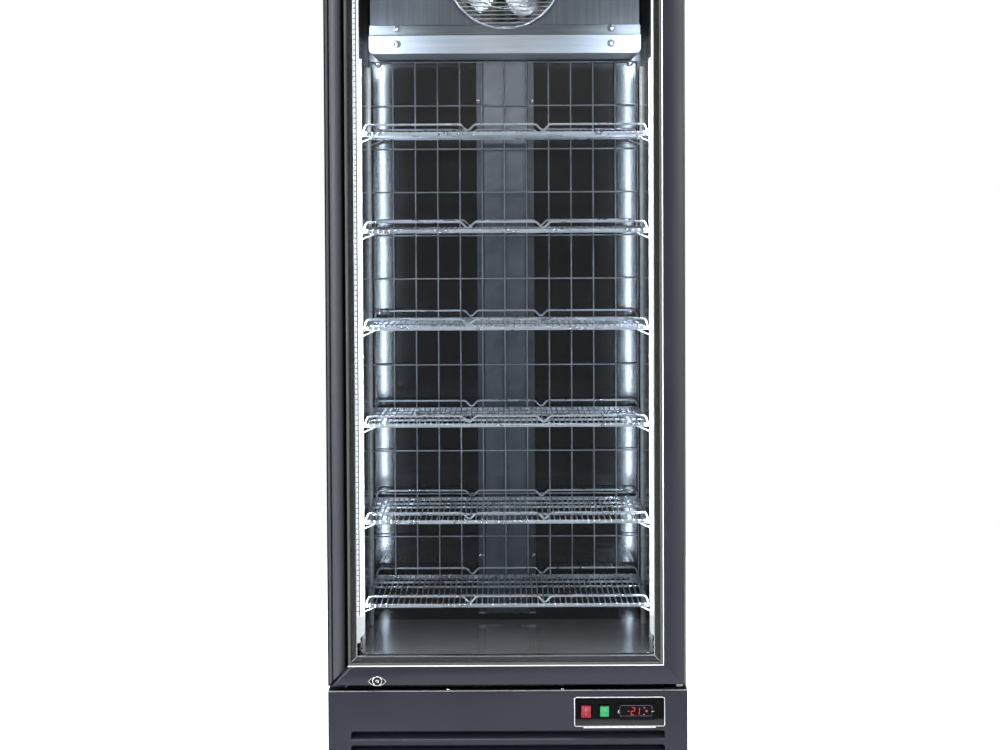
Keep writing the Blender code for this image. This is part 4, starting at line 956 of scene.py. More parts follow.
def make_door():
    front, back = DOOR_LOW.y, DOOR_HIGH.y
    face_end = 0.0374
    bead_back = front + 0.0065
    plain = [(0.0004, back), (0.0, back - 0.0004), (0.0, front + 0.0120), (0.0008, front + 0.0060),
             (0.0013, front + 0.0022), (0.0022, front + 0.0007), (0.0036, front), (face_end - 0.0004, front),
             (face_end, front + 0.0004), (face_end, bead_back), (0.0430, bead_back), (0.0430, back)]
    for side, name in (("bottom", "bottom_rail"), ("top", "top_rail"), ("right", "hinge_stile")):
        rail = Shape()
        if side == "right":
            mitred(rail, plain, side)
        else:
            dipped_rail(rail, plain, side, front)
        rail.build(name + "_profile", "door", DOOR_PAINT, name, angle=30)
    grip_back = -0.3333
    stile = Shape()
    mitred(stile, [(0.0004, back), (0.0, back - 0.0004), (0.0, grip_back), (0.0330, grip_back),
                   (0.0330, back)], "left")
    # The channel next to the glass gets the black finish: painted shade of the deep groove.
    mitred(stile, [(0.0330, back), (0.0330, grip_back), (0.0388, grip_back), (0.0388, bead_back),
                   (0.0430, bead_back), (0.0430, back)], "left", finish=1)
    stile.build("handle_stile_profile", "door", [DOOR_PAINT, EDGE_BLACK], "handle_stile",
                angle=30)
    make_grip(front, grip_back - 0.0003)
    make_bead(front, face_end, bead_back)
    for name in ("glass_outer", "glass_inner"):
        refine(name, "door", GLASS, bevel=0.0004, name=name + "_pane")
    make_pane_spacer()
    make_gasket()


def make_grip(front, back_face):
    """The full-height grip: a thin lip, a groove for the fingers, and a bar whose face curves back."""
    lip, bar, width = 0.0074, 0.0104, 0.0327
    profile = [(0.0030, back_face), (0.0030, front + 0.0016), (0.0033, front + 0.0006),
               (0.0040, front + 0.0002),
               (lip - 0.0008, front + 0.0002), (lip - 0.0002, front + 0.0006), (lip, front + 0.0014),
               (lip + 0.0002, front + 0.0130), (bar - 0.0002, front + 0.0130)]
    steps, start, end = 18, math.radians(18), math.radians(53)
    bend = (width - 0.0004 - bar) / (math.sin(end) - math.sin(start))
    profile += [(bar, front + 0.0022), (bar + 0.0003, front + 0.0008)]
    for step in range(steps + 1):
        turn = start + (end - start) * step / steps
        profile.append((bar + 0.0008 + bend * (math.sin(turn) - math.sin(start)),
                        front + 0.0003 + bend * (math.cos(start) - math.cos(turn))))
    depth = profile[-1][1]
    profile[-1] = (width - 0.0003, depth)
    profile += [(width, depth + 0.0006), (width, back_face)]
    grip = Shape()
    mitred(grip, profile, "left", gap=0.0004)
    grip.build("door_grip_profile", "door", GRIP_PAINT, "door_grip", angle=28)
    # A black strip along the grip's outer edge, standing in for the dark that the rounded edge shows: painted
    # shade.
    edge = Shape()
    mitred(edge, [(0.0, back_face), (0.0, front + 0.0040), (0.0006, front + 0.0026), (0.0016, front + 0.0018),
                  (0.0028, front + 0.0018), (0.0028, back_face)], "left", gap=0.0004)
    edge.build("grip_edge_strip", "door", EDGE_BLACK, angle=40)


def make_bead(front, face_end, bead_back):
    """The glazing bead all round the glass, and the bright trim on three sides of it."""
    trim = Shape()
    section = [(face_end + 0.0002, front + 0.0006), (face_end + 0.0018, front + 0.0020),
               (face_end + 0.0018, bead_back + 0.0002), (face_end + 0.0002, bead_back + 0.0002)]
    for side in ("bottom", "right", "top"):
        mitred(trim, section, side, gap=0.0)
    trim.build("glazing_trim", "door", TRIM_EDGE, angle=30)
    bead = Shape()
    door_ring(bead, [(0.0388, bead_back), (0.0389, bead_back - 0.0022), (0.0396, bead_back - 0.0031),
                     (0.0410, bead_back - 0.0033), (0.0426, bead_back - 0.0026), (0.0433, bead_back - 0.0010),
                     (0.0436, front + 0.0112), (0.0431, front + 0.0112), (0.0429, bead_back)])
    bead.build("glazing_bead", "door", BEAD_RUBBER, angle=50)


def make_pane_spacer():
    """The spacer between the panes: its frame, its bright inner face and a bright strip across each corner, a
    painted highlight on the corner joints.
    """
    low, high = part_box("pane_spacer")
    outside, inner_face = 0.0435, 0.0545
    spacer = Shape()
    door_ring(spacer, [(outside, low.y + 0.0001), (outside, high.y - 0.0001), (inner_face, high.y - 0.0001),
                       (inner_face, low.y + 0.0001)])
    spacer.build("pane_spacer_frame", "door", SPACER, "pane_spacer", angle=30)
    inner = Shape()
    door_ring(inner, [(inner_face, low.y + 0.0004), (inner_face, high.y - 0.0004),
                      (inner_face + 0.0007, high.y - 0.0008), (inner_face + 0.0007, low.y + 0.0008)])
    inner.build("pane_spacer_face", "door", BRIGHT_EDGE, angle=30)
    # Bright strips from each inner corner to the outer one: a painted highlight on the corner joints.
    corner_highlights = Shape()
    thin = 0.0005
    outside_corners, inside_corners = door_rectangle(outside + 0.0001), door_rectangle(inner_face)
    for first, second in ((0, 1), (2, 1), (2, 3), (0, 3)):
        outer = Vector((outside_corners[first], outside_corners[second]))
        inside = Vector((inside_corners[first], inside_corners[second]))
        along = (inside - outer).normalized()
        across = Vector((-along.y, along.x)) * thin
        outline = [outer + across, outer - across, inside - across, inside + across]
        corner_highlights.prism([tuple(point) for point in outline], 1, low.y - 0.00012, low.y + 0.0003)
    corner_highlights.build("pane_spacer_corner_highlights", "door", BRIGHT_EDGE)


def make_gasket():
    """A magnetic gasket with bellows at both sides."""
    low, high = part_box("door_gasket")
    width = 0.014
    ridges = 4
    right_side, left_side = [], []
    for index in range(ridges * 2 + 1):
        y = low.y + (high.y - low.y - 0.003) * index / (ridges * 2) + 0.0004
        fold = 0.0008 + 0.0012 * (index % 2)
        right_side.append((width - fold, y))
        left_side.append((fold, y))
    back = [(0.0, high.y - 0.0028), (0.0002, high.y - 0.0006), (0.0010, high.y), (width - 0.0010, high.y),
            (width - 0.0002, high.y - 0.0006), (width, high.y - 0.0028)]
    gasket = Shape()
    rectangle_ring(gasket, low.x, low.z, high.x, high.z, left_side + back + right_side[::-1])
    gasket.build("door_gasket_bellows", "door", RUBBER, "door_gasket", angle=50)


def make_lock():
    low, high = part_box("lock_escutcheon")
    middle_x, middle_z = (low.x + high.x) / 2, (low.z + high.z) / 2
    half_length, half_height = (high.x - low.x) / 2, (high.z - low.z) / 2
    bulge = (half_length ** 2 + half_height ** 2) / (2 * half_height)
    steps = 24

    def eye(inset):
        """The outline where two arcs meet in points."""
        radius = bulge - inset
        drop = bulge - half_height
        reach = math.sqrt(radius ** 2 - drop ** 2)
        limit = math.asin(reach / radius)
        points = []
        for sign in (1, -1):
            for step in range(steps):
                turn = limit - 2 * limit * step / steps
                points.append((middle_x + sign * radius * math.sin(turn),
                               middle_z + sign * (radius * math.cos(turn) - drop)))
        return points

    plate = Shape()
    rings = []
    for inset, y in ((0.0, high.y), (0.0, low.y + 0.0010), (0.0004, low.y + 0.0002), (0.0010, low.y),
                     (0.0018, low.y + 0.0002), (0.0021, low.y + 0.0012), (0.0021, high.y)):
        rings.append([(x, y, z) for x, z in eye(inset)])
    plate.loft(rings, closed=True)
    collar = 0.0092
    profile = [(0.0078, 0.0), (collar, 0.0), (collar, -0.0016), (collar - 0.0003, -0.0021), (0.0084, -0.0023),
               (0.0079, -0.0020), (0.0078, 0.0)]
    centre = Vector((middle_x, high.y, middle_z))
    rings = []
    for radius, level in profile[:-1]:
        rings.append([centre + Vector((radius * math.cos(2 * math.pi * k / 40), level,
                                       radius * math.sin(2 * math.pi * k / 40))) for k in range(40)])
    plate.loft(rings, closed=True)
    plate.build("lock_plate", "door", CHROME, "lock_escutcheon", angle=40)
    floor = Shape()
    outline = [(x, z) for x, z in eye(0.0016)]
    floor.prism(outline, 1, high.y - 0.0008, high.y)
    floor.build("lock_plate_inset", "door", GLOSS_BLACK, angle=40)
    lock_low, lock_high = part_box("lock_cylinder")
    barrel = Shape()
    y = lock_low.y
    barrel.turned([(0, y + 0.0008), (0.0022, y + 0.0006), (0.0030, y + 0.0002), (0.0034, y + 0.0008),
                   (0.0036, y + 0.0020)], (middle_x, 0, middle_z), 1, 40)
    barrel.turned([(0.0035, y + 0.0016), (0.0062, y + 0.0016), (0.0066, y + 0.0006), (0.0072, y + 0.0006),
                   (0.0075, y + 0.0014), (0.0075, -0.3365), (0, -0.3365)], (middle_x, 0, middle_z), 1, 40, 1)
    barrel.block((middle_x - 0.006, -0.3375, middle_z - 0.006),
                 (lock_high.x, -0.3355, middle_z + 0.006), 0.0005)
    barrel.build("lock_barrel", "lock", [CHROME, GLOSS_BLACK], "lock_cylinder", angle=30)
    key = Shape()
    key.block((middle_x - 0.0006, y + 0.0001, middle_z - 0.0028),
              (middle_x + 0.0006, y + 0.0030, middle_z + 0.0028))
    key.build("lock_keyway", "lock", BLACK_PLASTIC)


def make_hinges():
    # The brackets come out black: painted shade of the gaps they sit in.
    plain("lower_hinge_bracket", "upper_hinge_bracket")
    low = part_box("lower_hinge_bracket")[0]
    level = low.z + 0.0033
    top = DOOR_LOW.z - 0.0003
    bush = Shape()
    bush.turned([(0.0044, level), (0.0060, level), (0.0066, level + 0.0008), (0.0066, top - 0.0006),
                 (0.0060, top), (0.0044, top)], (0.3296, -0.334, 0), 2, 32)
    bush.build("hinge_bush", "cabinet", NYLON)
    screws = Shape()
    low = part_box("upper_hinge_bracket")[0]
    for across in (0.310, 0.328):
        screws.screw_head((across, low.y + 0.032, low.z + 0.004), 0.0028, 1, -1)
    screws.build("hinge_screws", "cabinet", SCREW_STEEL)


# Inside ------------------------------------------------------


def make_lights():
    for side, name in ((-1, "led_strip_left"), (1, "led_strip_right")):
        low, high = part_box(name)
        outer = side * 0.2932
        front = low.y
        cap_bottom, cap_top, top = low.z + 0.0007, 0.436, high.z

        def placed(outline):
            """Outline points given as distances in from the strip's outer side and back from its front."""
            return [(outer - side * across, front + y) for across, y in outline]

        channel = Shape()
        depth = high.y - front
        channel.prism(placed([(0.0, 0.001), (0.0006, 0.0002), (0.0030, 0.0), (0.0074, 0.0), (0.0078, 0.0040),
                              (0.0078, depth), (0.0, depth)]), 2, cap_top - 0.004, top - 0.004)
        channel.build(name + "_channel", "cabinet", STRIP_CHANNEL, name, angle=30)
        lens = Shape()
        turns = [math.radians(30 * step) for step in range(7)]
        dome = [(0.0109 - 0.0019 * math.cos(t), 0.0026 - 0.0026 * math.sin(t)) for t in turns]
        lens.prism(placed([(0.0090, 0.006), (0.0090, 0.0016)] + dome + [(0.0128, 0.006)]), 2, cap_top - 0.004,
                   top - 0.004)
        lens.build(name + "_lens", "cabinet", LED_LENS, angle=50)
        chips = Shape()
        chips.prism(placed([(0.0026, -0.0003), (0.0070, -0.0003), (0.0070, 0.0002), (0.0026, 0.0002)]), 2,
                    cap_top - 0.002, top - 0.006, 1)
        near, far = sorted((outer - side * 0.0030, outer - side * 0.0066))
        level = cap_top + 0.004
        while level < top - 0.012:
            chips.block((near, front - 0.0013, level - 0.0041), (far, front - 0.0002, level + 0.0041), 0.0006)
            level += 0.0100
        chips.build(name + "_chips", "cabinet", [LED_CHIP, LED_BOARD], angle=30)
        # End caps that glow a little: painted light.
        caps = Shape()
        x_out, x_in = outer - side * 0.0024, outer - side * 0.0168
        for near, far, up in ((cap_bottom, cap_top, 1), (top - 0.001, top - 0.030, -1)):
            outline = [(x_out, near), (x_out - side * 0.0050, near), (x_out - side * 0.0066, near + up * 0.010),
                       (x_in, near + up * 0.018), (x_in, far), (x_out, far)]
            caps.prism(outline, 1, front - 0.0008, high.y - 0.002)
        caps.build(name + "_caps", "cabinet", GLOWING_CAP, bevel=0.0010)
        leads = Shape()
        for finish in (0, 1):
            x = outer - side * (0.0056 + 0.0030 * finish)
            route = [(0.0, 0.010, cap_bottom + 0.004), (0.003, 0.012, cap_bottom - 0.006),
                     (-0.002, 0.016, cap_bottom - 0.014), (0.004, 0.022, 0.3655), (0.001, 0.040, 0.3595),
                     (0.002, 0.075, 0.3575)]
            points = [(x - side * across, front + y, z) for across, y, z in route]
            leads.tube(smooth_path(points, 0.01, 4), 0.0011, 8, finish=finish)
        leads.build(name + "_leads", "cabinet", [WIRE_GREY, WIRE_WHITE])


def shelf_tops():
    return [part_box(f"shelf_{number}")[1].z - 0.015 for number in range(1, 7)]


def make_pilasters():
    tops = shelf_tops()
    for row in ("front", "rear"):
        for side, side_name in ((-1, "left"), (1, "right")):
            name = f"pilaster_{row}_{side_name}"
            low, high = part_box(name)
            wall = side * (INNER_HALF - 0.0003)
            face = side * (INNER_HALF - 0.0058)
            rail = Shape()
            middle_y = (low.y + high.y) / 2
            thin = 0.0012
            bottom, top = 0.3575, high.z

            def plate(x1, x2, y1, y2, z1, z2):
                rail.block((min(x1, x2), y1, z1), (max(x1, x2), y2, z2), 0.0003)

            # The channel's two sides and its slotted face.
            plate(wall, face, low.y, low.y + thin, bottom, top)
            plate(wall, face, high.y - thin, high.y, bottom, top)
            inner = face + side * thin
            plate(face, inner, low.y, middle_y - 0.0035, bottom, top)
            plate(face, inner, middle_y + 0.0035, high.y, bottom, top)
            pitch = 0.0125
            level = bottom
            while level < top - pitch:
                plate(face, inner, middle_y - 0.0037, middle_y + 0.0037, level, level + pitch * 0.45)
                level += pitch
            for height in (bottom + 0.03, (bottom + top) / 2, top - 0.03):
                rail.screw_head((face, low.y + 0.0042, height), 0.0026, 0, -side)
            rail.build(name + "_rail", "cabinet", PILASTER_STEEL, name, angle=30)
            clips = Shape()
            for shelf in tops:
                arm = shelf - 0.0056 - 0.0017
                tip = side * 0.2545
                root = face + side * 0.0015
                for offset in (-0.0055, 0.0055):
                    y = middle_y + offset
                    points = [(root, y, arm), (tip, y, arm), (tip + side * 0.001, y, arm - 0.0030),
                              (root, y, arm - 0.0125)]
                    clips.tube(smooth_path(points, 0.0016, 3), 0.0015, 8)
                clips.tube([(tip + side * 0.0006, middle_y - 0.0065, arm - 0.0002),
                            (tip + side * 0.0006, middle_y + 0.0065, arm - 0.0002)], 0.0014, 8)
            clips.build(name + "_clips", "cabinet", ZINC_WIRE, angle=60)


def shelf_mesh():
    """All wires of one shelf, with the deck's top surface at z = 0."""
    low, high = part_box("shelf_1")
    left, right, front, back = low.x, high.x, low.y, high.y
    frame_radius, deck_radius, guard_radius = 0.0025, 0.0014, 0.0020
    wires = Shape()
    level = -2 * deck_radius - frame_radius
    deep = 0.0065
    inset = frame_radius
    # Side wires, which rest on the clips, and front and back wires at two levels.
    for x in (left + inset, right - inset):
        wires.tube([(x, front + 0.004, -frame_radius), (x, back - 0.004, -frame_radius)], frame_radius, 10)
    for y in (front + inset, back - inset):
        for z in (-deep, -0.0016 - deck_radius):
            wires.tube([(left + 0.0010, y, z), (right - 0.0010, y, z)], 0.0021, 10)
    for across in (left + inset, right - inset):
        for y in (front + inset, back - inset):
            wires.tube([(across, y, -deep - 0.0006), (across, y, -0.001)], 0.0022, 8)
    # Cross wires below the deck.
    for share in (0.335, 0.635, 0.80):
        y = front + share * (back - front)
        wires.tube([(left + 0.003, y, level), (right - 0.003, y, level)], frame_radius, 10)
    # Deck wires, bent down over the front and back wires.
    count = 50
    for index in range(count):
        x = left + 0.0085 + (right - left - 0.017) * index / (count - 1)
        bend = ((0.0004, -deep + 0.0004), (0.0002, -0.0030), (0.0012, -0.0012), (0.0034, -deck_radius))
        path = [(x, front + inward, z) for inward, z in bend]
        path += [(x, back - inward, z) for inward, z in bend[::-1]]
        wires.tube(path, deck_radius, 7)
    # Raised guards at the front and the back, each with two notches.
    guard = 0.0150 - guard_radius
    for y in (front + 0.0026, back - 0.0026):
        points = [(left + 0.0030, y, -0.004), (left + 0.0036, y, 0.0040), (left + 0.0080, y, guard)]
        for middle in (-0.0725, 0.0725):
            points += [(middle - 0.0130, y, guard), (middle - 0.0030, y, guard - 0.0108),
                       (middle + 0.0030, y, guard - 0.0108), (middle + 0.0130, y, guard)]
        points += [(right - 0.0080, y, guard), (right - 0.0036, y, 0.0040), (right - 0.0030, y, -0.004)]
        wires.tube(smooth_path(points, 0.0045, 4), guard_radius, 10)
    return wires


def make_shelves():
    wires = shelf_mesh()
    for number, top in enumerate(shelf_tops(), start=1):
        name = f"shelf_{number}"
        one = Shape()
        one.points = [(x, y, z + top) for x, y, z in wires.points]
        one.faces = wires.faces
        one.finishes = wires.finishes
        one.build(name + "_wires", name, ZINC_WIRE, name, angle=50, weld=False)


def make_back_grid():
    low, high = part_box("back_grid")
    grid = Shape()
    radius = 0.0014
    middle_y = (low.y + high.y) / 2
    columns = rows = 12
    offset = -0.0022                            # the grid hangs a little left of the middle
    left, right = low.x + 0.0015 + offset, high.x - 0.0015 + offset
    bottom, top = low.z + 0.0015, high.z - 0.0015
    for index in range(columns + 1):
        x = left + (right - left) * index / columns
        grid.tube([(x, middle_y - 0.0012, bottom - 0.001), (x, middle_y - 0.0012, top + 0.001)], radius, 8)
    for index in range(rows + 1):
        z = bottom + (top - bottom) * index / rows
        grid.tube([(left - 0.001, middle_y + 0.0012, z), (right + 0.001, middle_y + 0.0012, z)], radius, 8)
    grid.build("back_grid_wires", "cabinet", DARK_WIRE, "back_grid", angle=50)
    holders = Shape()
    for x in (-0.2640, 0.2600):
        for z in (top - 0.003, (bottom + top) / 2 + 0.020, bottom + 0.004):
            holders.turned([(0.0030, 0.0), (0.0030, -0.028), (0.0058, -0.028), (0.0058, -0.0300),
                            (0.0045, -0.0312), (0.0020, -0.0316), (0, -0.0310)],
                           (x, INNER_BACK - 0.0003, z), 1, 20)
    holders.build("grid_holders", "cabinet", SCREW_STEEL)


def make_duct():
    low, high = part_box("air_duct")
    flange, face = (high.x - low.x) / 2, 0.0465
    wall = 0.0012
    back, front = high.y, low.y
    bend = 0.0022

    def side_of(sign):
        outer = [(sign * flange, back), (sign * flange, back - wall), (sign * (face + bend), back - wall)]
        for step in range(1, 4):
            turn = math.radians(90 * step / 3)
            outer.append((sign * (face + bend - bend * math.sin(turn)),
                          back - wall - bend * (1 - math.cos(turn))))
        for step in range(4):
            turn = math.radians(90 * step / 3)
            outer.append((sign * (face - bend * (1 - math.cos(turn))), front + bend - bend * math.sin(turn)))
        return outer

    right = side_of(1)
    left = side_of(-1)
    inner = [(x - math.copysign(wall, x), y + wall) for x, y in right[3:]]
    inner_left = [(x - math.copysign(wall, x), y + wall) for x, y in left[3:]]
    outline = left + right[::-1] + [(face - wall, back)] + inner + inner_left[::-1] + [(-face + wall, back)]
    duct = Shape()
    duct.prism(outline, 2, low.z, high.z)
    duct.build("air_duct_skin", "cabinet", DUCT_STEEL, "air_duct", angle=40)
    screws = Shape()
    for x in (-0.0545, 0.0545):
        for z in (1.443, 0.492):
            screws.screw_head((x, back - wall, z), 0.0040, 1, -1)
    screws.build("duct_screws", "cabinet", SCREW_STEEL)
    lip = Shape()
    lip.block((-flange, back - 0.0032, low.z - 0.003), (flange, back - 0.0002, low.z + 0.0004), 0.0006)
    lip.build("duct_lower_lip", "cabinet", BRIGHT_EDGE)


def ring_path(radius, centre, y, steps=72):
    return [(centre[0] + radius * math.cos(2 * math.pi * k / steps), y,
             centre[1] + radius * math.sin(2 * math.pi * k / steps)) for k in range(steps)]


def make_evaporator():
    plain("evaporator_cover", "drip_tray")
    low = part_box("evaporator_cover")[0]
    tray_low, tray_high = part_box("drip_tray")
    flange = Shape()
    flange.block((tray_low.x + 0.0010, low.y - 0.0034, tray_high.z + 0.0006),
                 (tray_high.x - 0.0010, low.y - 0.0002, tray_high.z + 0.0200), 0.0010)
    flange.build("evaporator_flange", "cabinet", FLANGE_STEEL)
    screws = Shape()
    for x in (-0.2128, 0.2100):
        for y, z in ((low.y - 0.0034, 1.5762), (tray_low.y, 1.5460)):
            screws.turned([(0, 0.0), (0.0072, 0.0), (0.0070, -0.0007), (0, -0.0008)], (x, y, z), 1, 28)
            screws.screw_head((x, y - 0.0007, z), 0.0050, 1, -1)
    screws.build("tray_screws", "cabinet", SCREW_STEEL)
    plain("evaporator_coil", "evaporator_fan_motor")
    make_fan_guard(low.y)


def make_fan_guard(cover_front):
    low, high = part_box("fan_guard")
    centre = ((low.x + high.x) / 2, (low.z + high.z) / 2)
    radius = (high.z - low.z) / 2 - 0.0004
    middle_y = (low.y + high.y) / 2
    guard = Shape()
    guard.tube(ring_path(radius, centre, middle_y), 0.0019, 8, closed=True)
    for share in (0.66, 0.36):
        guard.tube(ring_path(radius * share, centre, middle_y - 0.0030), 0.0013, 8, closed=True)
    pitch = 0.0080
    count = int(radius / pitch)
    for index in range(-count, count + 1):
        drop = index * pitch
        reach = math.sqrt(max(radius ** 2 - drop ** 2, 0))
        steps = 10
        path = []
        for step in range(steps + 1):
            share = -1 + 2 * step / steps
            bow = 0.0016 * (1 - share ** 4)
            path.append((centre[0] + share * reach, middle_y - bow, centre[1] + drop))
        guard.tube(path, 0.0011, 6)
    for turn in (20, 160, 200, 340):
        x = centre[0] + (radius + 0.0055) * math.cos(math.radians(turn))
        z = centre[1] + (radius + 0.0055) * math.sin(math.radians(turn))
        guard.tube(ring_path(0.0042, (x, z), middle_y + 0.0008, 20), 0.0013, 6, closed=True)
        guard.screw_head((x, cover_front - 0.0030, z), 0.0036, 1, -1)
    guard.build("fan_guard_wires", "cabinet", ZINC_WIRE, "fan_guard", angle=50)


def make_fan(name, blades, radius, chord=0.062):
    """A hub with a rounded cap and curved, twisted blades."""
    centre = centre_of(name)
    half = 0.0138
    fan = Shape()
    fan.turned([(0, half), (0.026, half), (0.0295, half - 0.002), (0.0300, -half + 0.008),
                (0.0285, -half + 0.003), (0.0240, -half + 0.0006), (0.016, -half), (0.013, -half + 0.001),
                (0.006, -half + 0.0012), (0, -half + 0.0012)], centre, 1, 40)
    steps_out, steps_round = 8, 8
    for index in range(blades):
        base = 2 * math.pi * index / blades
        grid = []
        for out in range(steps_out + 1):
            share = out / steps_out
            reach = 0.027 + (radius - 0.027) * share
            spread = chord * (0.72 + 0.50 * share - 0.25 * share ** 3)
            pitch = math.radians(34 - 14 * share)
            row = []
            for around in range(steps_round + 1):
                across = (around / steps_round - 0.5) * spread
                rounded = across * (1 - 0.30 * max(0, share - 0.8) / 0.2 * abs(2 * around / steps_round - 1))
                turn = base + 0.20 * share + rounded * math.cos(pitch) / reach
                camber = 0.0035 * (1 - (2 * around / steps_round - 1) ** 2)
                y = max(-half + 0.001, min(half - 0.002, rounded * math.sin(pitch) - camber))
                row.append(Vector((reach * math.cos(turn), y, reach * math.sin(turn))))
            grid.append(row)
        points, faces = [], []
        thick = 0.0012
        for offset in (0.0, thick):
            points += [centre + spot + Vector((0, offset, 0)) for row in grid for spot in row]
        wide = steps_round + 1
        total = wide * (steps_out + 1)
        for out in range(steps_out):
            for around in range(steps_round):
                a = out * wide + around
                faces.append([a, a + 1, a + wide + 1, a + wide])
                faces.append([total + a, total + a + wide, total + a + wide + 1, total + a + 1])
        border = list(range(wide))
        border += [out * wide + steps_round for out in range(1, steps_out + 1)]
        border += [steps_out * wide + around for around in range(steps_round - 1, -1, -1)]
        border += [out * wide for out in range(steps_out - 1, 0, -1)]
        for place, start in enumerate(border):
            end = border[(place + 1) % len(border)]
            faces.append([start, total + start, total + end, end])
        fan.add(points, faces)
    fan.build(name + "_blades", name, FAN_PLASTIC, name, angle=40, weld=False)


# Light box ---------------------------------------------------


def make_canopy():
    plain("canopy_housing", "sign_panel", "canopy_lamp")
    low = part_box("canopy_housing")[0]
    panel_low, panel_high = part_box("sign_panel")
    behind = panel_low.y - 0.0002
    trim = Shape()
    rectangle_ring(trim, panel_low.x, panel_low.z, panel_high.x, panel_high.z,
                   [(0.0, behind), (0.0, low.y + 0.0006), (0.0008, low.y), (0.0030, low.y + 0.0002),
                    (0.0036, low.y + 0.0010), (0.0036, behind)])
    trim.build("sign_panel_trim", "cabinet", DOOR_PAINT, angle=40)


# Room --------------------------------------------------------


def make_stage():
    floor = Shape()
    reach = 3.0
    floor.block((-reach, -reach, -0.02), (reach, reach + 2.0, 0.0), 0.002)
    mesh = bpy.data.meshes.new("floor")
    mesh.from_pydata(floor.points, [], floor.faces)
    finish = surface("floor_finish", (0.84, 0.84, 0.84), 0.55, fine=60, broad=2, tint=0.02)
    tree = finish.node_tree
    shader = tree.nodes["Principled BSDF"]
    shader.inputs["Emission Color"].default_value = (1, 1, 1, 1)
    seen = node(tree, "ShaderNodeLightPath").outputs["Is Camera Ray"]
    glow = node(tree, "ShaderNodeMapRange", {"Value": seen, "To Min": 0.08, "To Max": 0.55})
    tree.links.new(glow.outputs[0], shader.inputs["Emission Strength"])
    mesh.materials.append(finish)
    plane = bpy.data.objects.new("floor", mesh)
    bpy.context.scene.collection.objects.link(plane)


def area_light(name, place, target, size, power, colour=(1, 1, 1), in_reflections=True):
    data = bpy.data.lights.new(name, "AREA")
    data.shape = "RECTANGLE"
    data.size, data.size_y = size
    data.energy = power
    data.color = colour
    light = bpy.data.objects.new(name, data)
    light.location = place
    light.rotation_euler = (Vector(target) - Vector(place)).to_track_quat("-Z", "Y").to_euler()
    light.visible_camera = False
    light.visible_glossy = in_reflections
    bpy.context.scene.collection.objects.link(light)


def make_world():
    world = bpy.data.worlds.new("studio")
    bpy.context.scene.world = world
    world.use_nodes = True
    tree = world.node_tree
    tree.nodes.clear()
    place = node(tree, "ShaderNodeTexCoord")
    parts = node(tree, "ShaderNodeSeparateXYZ", {"Vector": place.outputs["Generated"]})
    # Seen by reflections: darker in front of the object, bright above, at the sides and behind.
    depth = node(tree, "ShaderNodeMapRange", {"Value": parts.outputs["Y"], "From Min": -0.95, "From Max": 0.1,
                                              "To Min": 0.10, "To Max": 0.70}, clamp=True).outputs[0]
    lift = node(tree, "ShaderNodeMapRange", {"Value": parts.outputs["Z"], "From Min": 0.2, "From Max": 0.9,
                                             "To Min": 0.0, "To Max": 0.5}, clamp=True).outputs[0]
    total = node(tree, "ShaderNodeMath", {0: depth, 1: lift}, operation="ADD").outputs[0]
    soft = node(tree, "ShaderNodeBackground", {"Color": (0.93, 0.95, 1.0, 1), "Strength": total})
    white = node(tree, "ShaderNodeBackground", {"Color": (1, 1, 1, 1), "Strength": 1.0})
    path = node(tree, "ShaderNodeLightPath")
    seen = path.outputs["Is Camera Ray"]
    both = node(tree, "ShaderNodeMixShader", {0: seen, 1: soft.outputs[0], 2: white.outputs[0]})
    output = node(tree, "ShaderNodeOutputWorld")
    tree.links.new(both.outputs[0], output.inputs["Surface"])


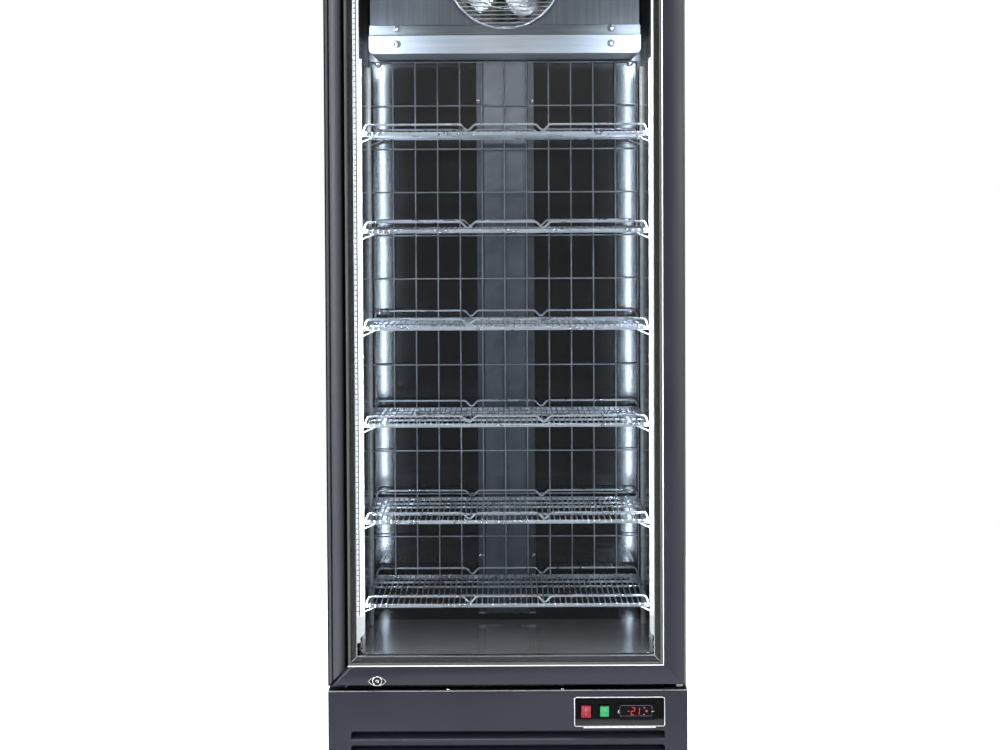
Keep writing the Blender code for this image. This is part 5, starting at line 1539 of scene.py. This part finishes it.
# Name, place, target, size and watts of the studio's lamps.
SOFTBOXES = (
    ("left_softbox", (-3.0, -3.4, 1.9), (0, 0, 1.0), (1.2, 2.6), 70),
    ("right_softbox", (3.0, -3.4, 1.9), (0, 0, 1.0), (1.2, 2.6), 65),
    ("side_softbox", (-4.4, -0.9, 1.2), (0, -0.3, 1.1), (1.3, 3.4), 170),
    ("top_softbox", (0, -0.8, 4.2), (0, 0, 0.8), (2.6, 1.8), 90),
    ("rear_softbox", (0, 3.6, 2.4), (0, 0, 0.8), (2.8, 2.0), 60),
)
COLD_WHITE = (0.70, 0.82, 1.0)
NEARLY_WHITE = (0.90, 0.94, 1.0)
TRAY_WHITE = (0.97, 0.98, 1.0)


def make_lamps():
    for name, place, target, size, watts in SOFTBOXES:
        area_light(name, place, target, size, watts)
    # The cabinet's own lights: beside the two strips, under the top of the mouth, and below the drip tray.
    for side in (-1, 1):
        place = Vector((side * 0.2775, -0.2660, 1.010))
        area_light("strip_light", place, place + Vector((-side, 1, 0)), (0.008, 1.18), 3.1, COLD_WHITE)
    place = Vector((0, -0.262, 1.795))
    area_light("top_light", place, place + Vector((0, 0.8, -0.6)), (0.50, 0.02), 0.8, NEARLY_WHITE)
    place = Vector((0, 0.04, 1.522))
    area_light("tray_light", place, place + Vector((0, 0.5, -0.85)), (0.50, 0.08), 5.0, TRAY_WHITE,
               in_reflections=False)


# Camera -----------------------------------------------------


CAMERA_PLACE = (0, -6.957, 1.2445)
CAMERA_DOWN, CAMERA_TURN, CAMERA_ROLL = math.radians(2.95), math.radians(0.104), math.radians(-0.27)
FOCAL_LENGTH, SENSOR_WIDTH = 124.92, 36.0        # millimetres


def make_camera():
    data = bpy.data.cameras.new("camera")
    data.sensor_width = SENSOR_WIDTH
    data.lens = FOCAL_LENGTH
    camera = bpy.data.objects.new("camera", data)
    camera.matrix_world = (
        Matrix.Translation(CAMERA_PLACE)
        @ Matrix.Rotation(CAMERA_TURN, 4, "Z")
        @ Matrix.Rotation(math.radians(90) - CAMERA_DOWN, 4, "X")
        @ Matrix.Rotation(CAMERA_ROLL, 4, "Z")
    )
    bpy.context.scene.collection.objects.link(camera)
    bpy.context.scene.camera = camera


make_shell()
make_floor_sheet()
make_breaker_strip()
make_mouth_trim()
make_feet()
make_front_grille()
make_control_panel()
make_machine_space()
make_door()
make_lock()
make_hinges()
make_lights()
make_pilasters()
make_shelves()
make_back_grid()
make_duct()
make_evaporator()
make_fan("evaporator_fan", 5, 0.097)
make_fan("condenser_fan", 4, 0.084)
make_canopy()
make_stage()
make_world()
make_lamps()
make_camera()
bpy.context.scene.view_settings.view_transform = "Standard"
